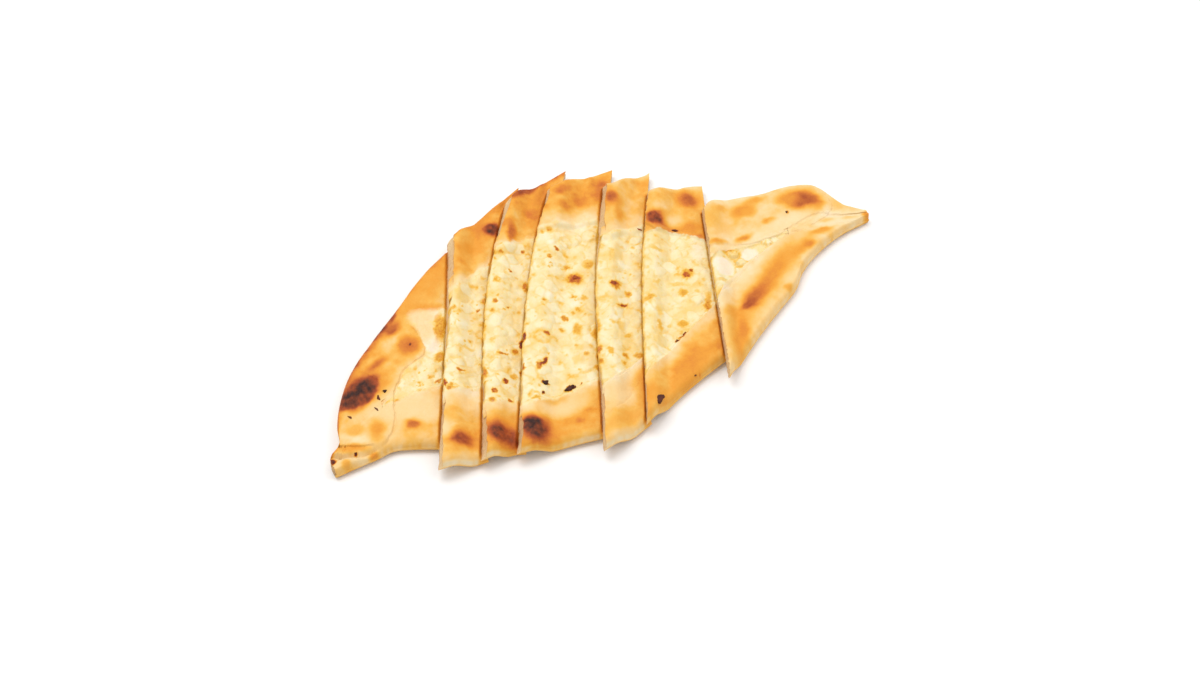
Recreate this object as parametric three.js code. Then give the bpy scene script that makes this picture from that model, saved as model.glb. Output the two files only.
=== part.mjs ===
// A baked cheese pide: a boat of thin dough with its two long borders folded in over
// melted cheese and its tips pinched shut, cut across into seven slices that still keep
// the shape of the whole. Each slice has slid a little along its cut and rests its left
// margin on the slice before it, like roof shingles.
//
// Frame: millimetres, X from the left tip to the right tip, Y across the bread, Z up.
// The bread rests on z = 0, and its origin is the middle of its box at that height.

import * as THREE from 'three';
import { mergeVertices } from 'three/addons/utils/BufferGeometryUtils.js';

const { clamp, lerp, smoothstep } = THREE.MathUtils;

// Heights of the dough and the cheese, from the underside of a slice.
const BED = 3.4; // dough under the cheese
const CREST = 9.6; // folded border, near its outer edge
const FLAP = 8.5; // folded border, at its inner edge
const CHEESE = 7.5; // melted cheese between the borders
const NOSE_TOP = 4.6; // top of the blunt outer edge
const NOSE_FOOT = 1.9; // foot of the blunt outer edge, which curls up a little

// Widths in the plan.
const NOSE_ROUND = 5.5; // how far in the outer edge is rounded
const CREST_AT = 9; // from the outer edge to the crest of the border
const FALL_TO = 36; // from the outer edge to where the border has fallen to FLAP
const FLAP_STEP = 1.4; // run of the step from the folded border down to the bed
const CHEESE_ROUND = 0.5; // how far the cheese falls at its borders
const FIT = 0.35; // clearance of the cheese from the dough round it
const END_FIT = 0.7; // the same where the cheese ends inside an end slice
const KNIFE_ROUND = 3; // how far in a cut edge is pressed down by the knife
const KNIFE_DROP = 1; // how far it is pressed down
const BEND_SKEW = 1.35; // over 1, a cut bends most beyond its middle

// Shingling: how a slice lies on the one before it.
const PRESSED = 5.9; // top of a slice's right margin, under the next slice
const PRESS_RUN = 8; // run from that margin up to full height
const LIFT = 6.9; // underside of a slice's left margin, on the slice before
const LIFT_RUN = 17; // run from there down to the surface the bread rests on
const MARGIN = 1.6; // a margin is this much wider than what overlaps it

// The tips.
const SEAM_DEPTH = 2.4; // groove where the two borders meet beyond the cheese
const SEAM_WIDTH = 0.035; // share of the slice's length that the groove takes
const SEAM_START = 0.012; // share of its width over which the tray ends in the groove
const TIP_SHRINK = 50; // a slice shorter than this has its edge profile scaled down
const TIP_HEIGHT = 0.88; // height of a tip as a share of the border's

// Relief: bubbles in the crust and curds in the cheese, by height and wave length, made
// of three waves that never quite repeat together.
const CRUST_BUBBLE = 0.45;
const CRUST_WAVE = 21;
const CURD = 0.75;
const CURD_WAVE = 11;
const WAVES = [
  { across: 1, along: 0.3, phase: 0, share: 0.45 },
  { across: -0.5, along: 1.1, phase: 1.3, share: 0.35 },
  { across: 1.9, along: -1.6, phase: 0.4, share: 0.2 },
];

// Plan of the bread before its origin is set.
// lower, upper: outlines, from left to right; each cut runs from the lower one upwards.
// bows: how far the left and the right cut bend to the left.
// bevel: how far the top of the left cut leans back, at its start, middle and end.
// under: how much of the left margin lies on the slice before, at the lower outline and
//   at the upper one; over: how much of the right margin the next slice covers.
// tray: where the cheese lies, from and to, as shares of the slice's width.
// low, high: where the cheese begins and ends, as shares of the slice's length, at the
//   left end of the tray, halfway and at its right end.
const SLICES = [
  {
    name: 'slice_1',
    lower: [[-195, -2], [-185, -2.5], [-169, -3.5], [-157, -3.5], [-145, -9], [-128, -19.5]],
    upper: [[-192, 10], [-183, 15], [-177, 29], [-171, 39], [-160, 52.5], [-148, 63],
      [-130, 74.5], [-104, 89.5], [-78, 104], [-45, 116.5]],
    bows: [1, 0],
    bevel: [0, 0, 0],
    under: [0, 0],
    over: [6.5, 9],
    low: [0.36, 0.31, 0.29],
    high: [0.37, 0.5, 0.67],
    tray: [0.5, 1],
  },
  {
    name: 'slice_2',
    lower: [[-143.5, -34], [-131, -36.5], [-113, -40]],
    upper: [[-50.5, 119], [-15, 131], [15.5, 141]],
    bows: [-1, 6],
    bevel: [3, 1, 5.5],
    under: [6.5, 9],
    over: [5.5, 9.5],
    low: [0.3, 0.27, 0.24],
    high: [0.7, 0.71, 0.72],
    tray: [0, 1],
  },
  {
    name: 'slice_3',
    lower: [[-119, -41.5], [-97, -44], [-91, -47]],
    upper: [[-2, 129.5], [28, 134], [49.5, 137.5]],
    bows: [6, 5],
    bevel: [3.5, 1, 5.5],
    under: [5.5, 9.5],
    over: [7, 11.5],
    low: [0.19, 0.17, 0.16],
    high: [0.77, 0.755, 0.74],
    tray: [0, 1],
  },
  {
    name: 'slice_4',
    lower: [[-98.5, -48.5], [-78, -53.5], [-62, -57], [-41.5, -62.5]],
    upper: [[27.5, 125], [51.5, 124.5], [76, 122]],
    bows: [5, 4.5],
    bevel: [3, 1, 4],
    under: [7, 11.5],
    over: [6.5, 7.5],
    low: [0.15, 0.165, 0.2],
    high: [0.82, 0.805, 0.79],
    tray: [0, 1],
  },
  {
    name: 'slice_5',
    lower: [[-53.5, -74], [-34, -71.5], [-15.5, -67.5]],
    upper: [[60, 108.5], [78, 107.5], [95.5, 107]],
    bows: [4.5, 3],
    bevel: [2.5, 1, 3.5],
    under: [6.5, 7.5],
    over: [5, 5],
    low: [0.21, 0.235, 0.25],
    high: [0.775, 0.77, 0.76],
    tray: [0, 1],
  },
  {
    name: 'slice_6',
    lower: [[-21, -70.5], [-8, -66], [11, -59.5], [30, -54.5], [47, -49.5]],
    upper: [[81.5, 88], [89, 90.5], [101, 82.5], [110, 83], [118, 78.5]],
    bows: [3, 0],
    bevel: [1.5, 1, 3],
    under: [5, 5],
    over: [1, 3.5],
    low: [0.18, 0.23, 0.3],
    high: [0.82, 0.77, 0.68],
    tray: [0, 1],
  },
  {
    name: 'slice_7',
    lower: [[41, -67], [66, -52], [86, -41.5], [102, -34], [120, -25.5], [131, -16.5],
      [146, -9], [171, -2.5], [194.5, -1.5]],
    upper: [[103, 56], [113, 60], [127, 58], [144, 52.5], [170, 46.5], [181, 38.5],
      [184, 27], [187, 14.5], [195, 3]],
    bows: [0, 0],
    bevel: [2, 2, 3],
    under: [1, 3.5],
    over: [0, 0],
    low: [0.43, 0.505, 0.525],
    high: [0.68, 0.62, 0.55],
    tray: [0, 0.5],
  },
];

// Curds large enough to stand out of the cheese: centre in the plan, radius, height.
const LARGE_CURDS = [
  [22, 80, 8, 1.6],
  [101, 8, 5, 2],
  [98, 18, 5, 1.8],
  [60, -2, 7, 1.1],
  [-100, 34, 6, 1.4],
  [-58, 88, 8, 1],
];

const crust = new THREE.MeshStandardMaterial({ color: 0xe6b36a, roughness: 0.72, metalness: 0 });
crust.name = 'crust';
const cheese = new THREE.MeshStandardMaterial({ color: 0xf6e3a4, roughness: 0.5, metalness: 0 });
cheese.name = 'cheese';

// Shares of a slice's width at which its surface is worked out, closer near the cuts.
const ACROSS = [0, 0.07, 0.19, 0.33, 0.48, 0.63, 0.78, 0.92, 1];
const ACROSS_END = 15; // steps along an end slice, from its cut to its tip
const EDGE_STEPS = [0, 1.3, 3.2, 6.5]; // distances from an outer edge
const FLAP_STEPS = 4; // steps over a folded border
const BED_STEPS = 6; // steps over the bed
const CHEESE_STEPS = 18; // steps along the cheese

// A smooth curve through the points of an outline.
function outline(points) {
  const places = points.map(([x, y]) => new THREE.Vector3(x, y, 0));
  return new THREE.CatmullRomCurve3(places, false, 'centripetal');
}

// A knife cut: the straight line between its ends, bent to the left by bow, with the
// bend fullest a little beyond the middle.
function knifeCut([x0, y0], [x1, y1], bow) {
  const length = Math.hypot(x1 - x0, y1 - y0);
  const leftward = new THREE.Vector3(-(y1 - y0) / length, (x1 - x0) / length, 0);
  return (t) => {
    const bend = bow * Math.sin(Math.PI * t ** BEND_SKEW);
    return new THREE.Vector3(lerp(x0, x1, t), lerp(y0, y1, t), 0).addScaledVector(leftward, bend);
  };
}

// Coons patch over the four edges of a slice: s runs from the left cut to the right
// one, t from the lower outline to the upper one.
function slicePlan(slice) {
  const lower = outline(slice.lower);
  const upper = outline(slice.upper);
  const left = knifeCut(slice.lower[0], slice.upper[0], slice.bows[0]);
  const right = knifeCut(slice.lower.at(-1), slice.upper.at(-1), slice.bows[1]);
  const corners = [left(0), right(0), left(1), right(1)];
  const point = (s, t) => {
    const place = new THREE.Vector3();
    place.addScaledVector(lower.getPointAt(s), 1 - t).addScaledVector(upper.getPointAt(s), t);
    place.addScaledVector(left(t), 1 - s).addScaledVector(right(t), s);
    place.addScaledVector(corners[0], -(1 - s) * (1 - t)).addScaledVector(corners[1], -s * (1 - t));
    place.addScaledVector(corners[2], -(1 - s) * t).addScaledVector(corners[3], -s * t);
    return place;
  };
  const length = (s) => lower.getPointAt(s).distanceTo(upper.getPointAt(s));
  const width = (t) => left(t).distanceTo(right(t));
  return { point, length, width };
}

// The sum of the waves at a place, between -1 and 1.
function relief(x, y, waveLength) {
  const turns = (2 * Math.PI) / waveLength;
  let sum = 0;
  for (const { across, along, phase, share } of WAVES) {
    sum += share * Math.sin(turns * (across * x + along * y) + phase);
  }
  return sum;
}

// Height that the large curds add at a place: each is a round bell.
function largeCurds(x, y) {
  let height = 0;
  for (const [cx, cy, radius, rise] of LARGE_CURDS) {
    height += rise * Math.exp(-((x - cx) ** 2 + (y - cy) ** 2) / radius ** 2);
  }
  return height;
}

// Where the cheese begins and ends at s, as shares of the slice's length. Past the
// cheese of an end slice the two come together as the seam of the pinched tip.
function cheeseSpan(slice, s) {
  const [from, to] = slice.tray;
  const share = clamp((s - from) / (to - from), 0, 1);
  const low = throughThree(slice.low, share);
  const high = Math.max(throughThree(slice.high, share), low + SEAM_WIDTH);
  return [low, high];
}

// The parabola through a start, a middle and an end value.
function throughThree([start, middle, end], share) {
  const first = (1 - share) * (1 - 2 * share) * start;
  return first + 4 * share * (1 - share) * middle + share * (2 * share - 1) * end;
}

// An end slice narrows to nothing, so its edge profile is scaled down with its length.
function isTip(slice) {
  const [from, to] = slice.tray;
  return to - from < 1;
}

function edgeScale(slice, length) {
  return isTip(slice) ? Math.min(1, length / TIP_SHRINK) : 1;
}

// Everything a height needs to know about a place (s, t) on a slice.
function placeOn(slice, plan, s, t) {
  const length = plan.length(s);
  const width = plan.width(t);
  const leftMargin = lerp(...slice.under, t) + MARGIN;
  const rightMargin = lerp(...slice.over, t) + MARGIN;
  const fromLeft = slice.under[1] > 0 ? s * width : Infinity;
  const fromRight = slice.over[1] > 0 ? (1 - s) * width : Infinity;
  const run = Math.min(LIFT_RUN, width - leftMargin - rightMargin);
  const scale = edgeScale(slice, length);
  const fromEdge = (Math.min(t, 1 - t) * length) / scale;
  const lift = LIFT * (1 - smoothstep(fromLeft, leftMargin, leftMargin + run));
  const press = 1 - smoothstep(fromRight, rightMargin, rightMargin + PRESS_RUN);
  return { fromLeft, fromRight, fromEdge, scale, lift, press, point: plan.point(s, t) };
}

// Height over the slice's own underside with the two margins worked in: the knife
// presses both cut edges down, and the next slice presses the right margin flat.
function withMargins(height, place) {
  const knife = 1 - smoothstep(Math.min(place.fromLeft, place.fromRight), 0, KNIFE_ROUND);
  return lerp(height - KNIFE_DROP * knife, Math.min(height, PRESSED), place.press);
}

// Quarter circle from 0 at the outer edge to 1 at NOSE_ROUND inside it.
function noseRise(place) {
  const inside = clamp(place.fromEdge / NOSE_ROUND, 0, 1);
  return Math.sqrt(1 - (1 - inside) ** 2);
}

// Top of the folded border: a rounded nose up to the crest, then a slow fall inwards.
function borderTop(place) {
  const crestToFlap = smoothstep(place.fromEdge, CREST_AT, FALL_TO);
  const { x, y } = place.point;
  const body = lerp(CREST, FLAP, crestToFlap) + CRUST_BUBBLE * relief(x, y, CRUST_WAVE);
  const top = lerp(NOSE_TOP, body, noseRise(place)) * lerp(TIP_HEIGHT, 1, place.scale);
  return withMargins(top, place);
}

// The underside is flat but for its raised left margin and its curled outer edges.
function underside(place) {
  return place.lift + NOSE_FOOT * (1 - noseRise(place));
}

// The dough's top face: border, step, bed, step, border. Past the cheese of an end
// slice the bed is only a shallow seam.
function doughTop(slice, place, s, onBed) {
  const top = borderTop(place);
  const [from, to] = slice.tray;
  const inTray = s >= from && s <= to;
  const floor = inTray ? BED : top - SEAM_DEPTH;
  return place.lift + (onBed ? Math.min(floor, top) : top);
}

// The cheese's top face: curds between the borders, rounded down where it meets them.
function cheeseTop(place, isRim) {
  const { x, y } = place.point;
  const lumps = (CURD * relief(x, y, CURD_WAVE) + largeCurds(x, y)) * (1 - place.press);
  return place.lift + withMargins(CHEESE + (isRim ? -CHEESE_ROUND : lumps), place);
}

// Shares of the slice's length, at s, of the rows of the dough's surface.
function doughRows(slice, plan, s) {
  const length = plan.length(s);
  const scale = edgeScale(slice, length);
  const [low, high] = cheeseSpan(slice, s);
  const edge = EDGE_STEPS.map((step) => (step * scale) / length);
  const step = (FLAP_STEP * scale) / length;
  const rows = edge.map((t) => ({ t, onBed: false }));
  for (let i = 1; i <= FLAP_STEPS; i += 1) {
    rows.push({ t: lerp(edge.at(-1), low - step, i / FLAP_STEPS), onBed: false });
  }
  for (let i = 0; i <= BED_STEPS; i += 1) {
    rows.push({ t: lerp(low, high, i / BED_STEPS), onBed: true });
  }
  for (let i = 0; i < FLAP_STEPS; i += 1) {
    rows.push({ t: lerp(high + step, 1 - edge.at(-1), i / FLAP_STEPS), onBed: false });
  }
  edge.toReversed().forEach((t) => rows.push({ t: 1 - t, onBed: false }));
  return rows;
}

// Shares of the slice's width at which its columns stand. An end slice has one pair of
// columns close together, where the bed ends and the seam begins.
function columns(slice) {
  if (!isTip(slice)) {
    return ACROSS;
  }
  const [from, to] = slice.tray;
  const end = from > 0 ? from : to;
  const beyond = from > 0 ? from - SEAM_START : to + SEAM_START;
  const shares = [end, beyond];
  for (let i = 0; i <= ACROSS_END; i += 1) {
    const share = i / ACROSS_END;
    if (Math.abs(share - end) > 2 * SEAM_START) {
      shares.push(share);
    }
  }
  return shares.sort((a, b) => a - b);
}

// One closed skin from two grids of the same size, a top one and a bottom one, given as
// top[i][j] and bottom[i][j]; the four sides are strips between their rims.
function closedSkin(top, bottom) {
  const columnsCount = top.length;
  const rowsCount = top[0].length;
  const corners = [];
  const quad = (a, b, c, d) => corners.push(a, b, c, a, c, d);
  for (let i = 0; i + 1 < columnsCount; i += 1) {
    for (let j = 0; j + 1 < rowsCount; j += 1) {
      quad(top[i][j], top[i + 1][j], top[i + 1][j + 1], top[i][j + 1]);
      quad(bottom[i][j], bottom[i][j + 1], bottom[i + 1][j + 1], bottom[i + 1][j]);
    }
    quad(bottom[i][0], bottom[i + 1][0], top[i + 1][0], top[i][0]);
    const last = rowsCount - 1;
    quad(top[i][last], top[i + 1][last], bottom[i + 1][last], bottom[i][last]);
  }
  for (let j = 0; j + 1 < rowsCount; j += 1) {
    quad(bottom[0][j + 1], bottom[0][j], top[0][j], top[0][j + 1]);
    const last = columnsCount - 1;
    quad(bottom[last][j], bottom[last][j + 1], top[last][j + 1], top[last][j]);
  }
  const geometry = new THREE.BufferGeometry().setFromPoints(corners);
  const welded = mergeVertices(geometry, 1e-4);
  welded.computeVertexNormals();
  return welded;
}

// A point of a slice at a height over its underside, leant back from the left cut in
// step with that height where the cut is bevelled.
function leantPlace(slice, plan, s, t, height) {
  const lean = ((height / CREST) * throughThree(slice.bevel, t)) / plan.width(t);
  return placeOn(slice, plan, lerp(lean, 1, s), t);
}

// The dough of a slice: its bed, its two folded borders and, at an end, its tip.
function doughOf(slice, plan) {
  const top = [];
  const bottom = [];
  for (const s of columns(slice)) {
    const rows = doughRows(slice, plan, s);
    top.push(rows.map(({ t, onBed }) => {
      const place = leantPlace(slice, plan, s, t, onBed ? BED : CREST);
      return place.point.setZ(doughTop(slice, place, s, onBed));
    }));
    bottom.push(rows.map(({ t }) => {
      const place = placeOn(slice, plan, s, t);
      return place.point.setZ(underside(place));
    }));
  }
  const mesh = new THREE.Mesh(closedSkin(top, bottom), crust);
  mesh.name = `${slice.name}_dough`;
  return mesh;
}

// Shares of the slice's width at which the cheese's columns stand. Where its tray ends
// inside an end slice, the last one keeps clear of the dough.
function cheeseColumns(slice, plan) {
  const [from, to] = slice.tray;
  const clear = END_FIT / plan.width(0.5);
  return columns(slice)
    .filter((s) => s >= from && s <= to)
    .map((s) => clamp(s, from > 0 ? from + clear : 0, to < 1 ? to - clear : 1));
}

// The cheese of a slice, which runs through it from cut to cut.
function cheeseOf(slice, plan) {
  const top = [];
  const bottom = [];
  for (const s of cheeseColumns(slice, plan)) {
    const [low, high] = cheeseSpan(slice, s);
    const fit = FIT / plan.length(s);
    const topColumn = [];
    const bottomColumn = [];
    for (let j = 0; j <= CHEESE_STEPS; j += 1) {
      const t = lerp(low + fit, high - fit, j / CHEESE_STEPS);
      const isRim = j === 0 || j === CHEESE_STEPS;
      const over = leantPlace(slice, plan, s, t, CHEESE);
      const under = leantPlace(slice, plan, s, t, BED);
      topColumn.push(over.point.setZ(cheeseTop(over, isRim)));
      bottomColumn.push(under.point.setZ(under.lift + BED + FIT));
    }
    top.push(topColumn);
    bottom.push(bottomColumn);
  }
  const mesh = new THREE.Mesh(closedSkin(top, bottom), cheese);
  mesh.name = `${slice.name}_cheese`;
  return mesh;
}

const group = new THREE.Group();
for (const slice of SLICES) {
  const plan = slicePlan(slice);
  group.add(doughOf(slice, plan), cheeseOf(slice, plan));
}

// The origin is the middle of the box, at the height the bread rests on.
const box = new THREE.Box3().setFromObject(group);
const middle = box.getCenter(new THREE.Vector3());
group.position.set(-middle.x, -middle.y, -box.min.z);
group.updateMatrixWorld(true);

export default group;
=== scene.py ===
# %% [markdown]
# # A cheese pide, cut into slices
#
# Pide is a flat boat of yeast dough. The baker lays cheese along the middle, folds the
# two long borders in over it, pinches the tips and bakes it very hot, so that the dough
# blisters and browns in spots and the cheese melts into a lumpy, speckled sheet. This one
# was then cut across into seven slices, which lie against one another like roof shingles.
#
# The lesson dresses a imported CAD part, which gives the true sizes. Every slice is built
# twice, once as dough and once as cheese, each as one closed surface worked out with numpy.

import bpy
import numpy as np
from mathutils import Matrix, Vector


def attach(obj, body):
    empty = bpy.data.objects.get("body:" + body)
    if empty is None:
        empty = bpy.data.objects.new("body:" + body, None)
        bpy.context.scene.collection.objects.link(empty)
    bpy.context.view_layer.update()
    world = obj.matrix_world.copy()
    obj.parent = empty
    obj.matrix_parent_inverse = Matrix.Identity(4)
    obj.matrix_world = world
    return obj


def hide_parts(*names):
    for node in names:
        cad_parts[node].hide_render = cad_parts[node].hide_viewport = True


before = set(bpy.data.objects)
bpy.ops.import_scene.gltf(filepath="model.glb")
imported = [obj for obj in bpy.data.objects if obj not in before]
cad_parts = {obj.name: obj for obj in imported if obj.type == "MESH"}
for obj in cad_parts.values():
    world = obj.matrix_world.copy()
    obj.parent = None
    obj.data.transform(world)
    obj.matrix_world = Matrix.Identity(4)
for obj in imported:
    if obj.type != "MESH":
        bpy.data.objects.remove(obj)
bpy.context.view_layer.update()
print("solids:", ", ".join(sorted(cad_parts)))

# %% [markdown]
# ## The sizes of a slice
#
# A slice is a thin bed of dough with a folded border at both ends, and cheese between
# them. Its left margin is lifted, because it rests on the slice before it, and its right
# margin is pressed flat by the slice after it. The sizes could be read off the solids, but
# a short list is easier to follow. Nearly all of them are those of the solids, so that the
# dressed slices keep their form. Only the strips that the knife and the next slice press
# are narrower here, because looks need no clearance.

# %% Heights and widths in millimetres
MM = 0.001
BED = 3.4  # dough under the cheese
CREST = 9.6  # highest part of a border
FLAP = 8.5  # a border at its folded edge
CHEESE = 7.5  # mean height of the cheese
NOSE_TOP = 4.6  # where the outer edge starts to round over
NOSE_FOOT = 1.9  # how far the outer edge curls up from the floor
NOSE_ROUND = 5.5  # breadth of that rounding
CREST_AT = 9  # distance of the crest from the outer edge
FALL_TO = 36  # distance at which the fall from the crest ends
FLAP_STEP = 1.4  # breadth of the step down to the bed
FIT = 0.35  # gap between the bed and the cheese
KNIFE_ROUND = 3  # breadth of the strip that the knife rounds
KNIFE_DROP = 0.7  # how far it presses that strip down
BEND_SKEW = 1.35  # above 1, a cut bends most past its middle
PRESSED = 6.3  # height left where the next slice lies on top
PRESS_RUN = 1.3  # breadth of the rise from there to the full height
OPEN_RUN = 8  # the same breadth where a slice lies open
LIFT = 6.9  # height of the left margin's underside
LIFT_RUN = 17  # breadth of its slope down to the floor
MARGIN = 1.6  # added to the widths of both margins
SEAM_DEPTH = 2.4  # groove where the two folds of a tip meet
SEAM_WIDTH = 0.035  # its breadth, as a share of the slice's length
TIP_SHRINK = 50  # a tip shorter than this has all its forms shrunk
TIP_HEIGHT = 0.88  # share of the height that is left at the tip's end
PLAN_MIDDLE = 33.5  # Y of the plan's middle, where the part's own origin is
print("a border rises to", CREST, "mm and the cheese to", CHEESE, "mm")

# %% [markdown]
# ## Mixing and smoothing
#
# Baked dough has no sharp bends: nearly every shape below is one number drifting into
# another. A straight ramp between the two would leave a kink at both ends, which the light
# shows up. So there are two small helpers: one mixes two numbers by a share, the other
# turns a distance into a share with no kink at either end.

# %% Mix two values, and ease from 0 to 1
def mix(a, b, share):
    """a at share 0, b at share 1, and on the straight line between them."""
    return a + (b - a) * share


def ease(x, low, high):
    """0 up to low, 1 from high on, and 3u^2 - 2u^3 between, u being the share of the way."""
    u = np.clip((x - low) / (high - low), 0, 1)
    return u * u * (3 - 2 * u)


print("halfway between low and high, ease gives", ease(np.array(0.5), 0, 1))

# %% [markdown]
# ## Unevenness
#
# Dough and cheese are never even. Blender's own noise lives in materials, but here the
# surface itself has to rise and sink, so the hills are worked out with numpy: each corner
# of a square lattice tilts the ground in a direction of its own, and the tilts are
# blended in between. Adding finer and finer hills gives clouds.

# %% Hills and clouds
def scatter(column, row, seed):
    """A number from 0 to 1 for each lattice square: its column, its row and the seed are
    mixed by multiplying with large odd numbers and folding the high bits down."""
    n = column.astype(np.int64) * 374761393 + row.astype(np.int64) * 668265263
    n = (n + seed * 144269504) & 0x7FFFFFFF
    n = ((n ^ (n >> 13)) * 1274126177) & 0x7FFFFFFF
    n = ((n ^ (n >> 16)) * 974634777) & 0x7FFFFFFF
    return ((n ^ (n >> 15)) & 0xFFFFFF) / 0xFFFFFF


def hills(x, y, size, seed):
    """Smooth hills about size wide, from about -1 to 1: the tilts of the four corners round
    a point, blended with 6u^5 - 15u^4 + 10u^3 both ways."""
    u, v = x / size, y / size
    column, row = np.floor(u), np.floor(v)
    du, dv = u - column, v - row
    su = du**3 * (du * (6 * du - 15) + 10)
    sv = dv**3 * (dv * (6 * dv - 15) + 10)

    def tilt(i, j):
        turn = 2 * np.pi * scatter(column + i, row + j, seed)
        return np.cos(turn) * (du - i) + np.sin(turn) * (dv - j)

    near = mix(tilt(0, 0), tilt(1, 0), su)
    far = mix(tilt(0, 1), tilt(1, 1), su)
    return 1.5 * mix(near, far, sv)


def clouds(x, y, size, seed, layers=3):
    """Hills, plus hills of half the size and half the height, and so on for each layer."""
    total = 0
    for layer in range(layers):
        total = total + hills(x, y, size / 2**layer, seed + 17 * layer) / 2**layer
    return total


grid_x, grid_y = np.meshgrid(np.arange(0, 60, 0.5), np.arange(0, 60, 0.5))
sample = clouds(grid_x, grid_y, 9, 1)
print("clouds run from %.2f to %.2f" % (sample.min(), sample.max()))

# %% [markdown]
# ## Lumps
#
# Melted cheese keeps the memory of its curds: round lumps with narrow valleys between.
# A lump field strews one point in every lattice square and measures how far a place is
# from the nearest point and from the second nearest one. Where the two are alike, it is
# in a valley.

# %% Nearest lumps
def lumps(x, y, size, seed):
    """Distances to the nearest and the second nearest of points strewn one in each lattice
    square of the size, in lattice units, and a number from 0 to 1 of the nearest one's own.
    The nine squares round a place are tried in turn."""
    u, v = x / size, y / size
    column, row = np.floor(u), np.floor(v)
    nearest = np.full(u.shape, 9.0)
    second = np.full(u.shape, 9.0)
    own = np.zeros(u.shape)
    for i in (-1, 0, 1):
        for j in (-1, 0, 1):
            px = column + i + 0.15 + 0.7 * scatter(column + i, row + j, seed)
            py = row + j + 0.15 + 0.7 * scatter(column + i, row + j, seed + 5)
            away = np.hypot(u - px, v - py)
            closer = away < nearest
            second = np.where(closer, nearest, np.minimum(second, away))
            own = np.where(closer, scatter(column + i, row + j, seed + 9), own)
            nearest = np.where(closer, away, nearest)
    return nearest, second, own


print("widest lump gap: %.2f" % lumps(grid_x, grid_y, 8, 3)[0].max())

# %% [markdown]
# ## The plan of the slices
#
# A real pide is cut by eye, so no two slices are alike, and a plan has to be measured slice
# by slice. Each is bounded by a piece of the lower and of the upper outline, drawn from
# left to right, and by two cuts. `bows` says how far the cuts bend to the left, `bevel` how far
# the top of the left cut leans back, `under` and `over` how wide the margins are that lie
# on the slice before and under the slice after. `tray`, `low` and `high` say where the
# cheese lies: between which shares of the width, and from which share of the length to
# which, at the left, in the middle and at the right.
#
# The rest is looks alone. `brown_low` and `brown_high` say how brown the lower and the
# upper border are at the rim, over their breadth and at the fold, and `lip` how brown the
# very edge of each is. `run_low` and `run_high` say how far the cheese has run over the
# fold, from how far inside it starts to climb, and over what width it turns to crust.
# Four values are given only where they aren't the usual ones: `rim_run` is the breadth of
# the browned rim, `seam` the depth of the groove where a tip's folds meet, `tip_run` over
# what distance the cheese climbs onto those folds at its inner end, and `freckled` how
# strongly freckles show.

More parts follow.
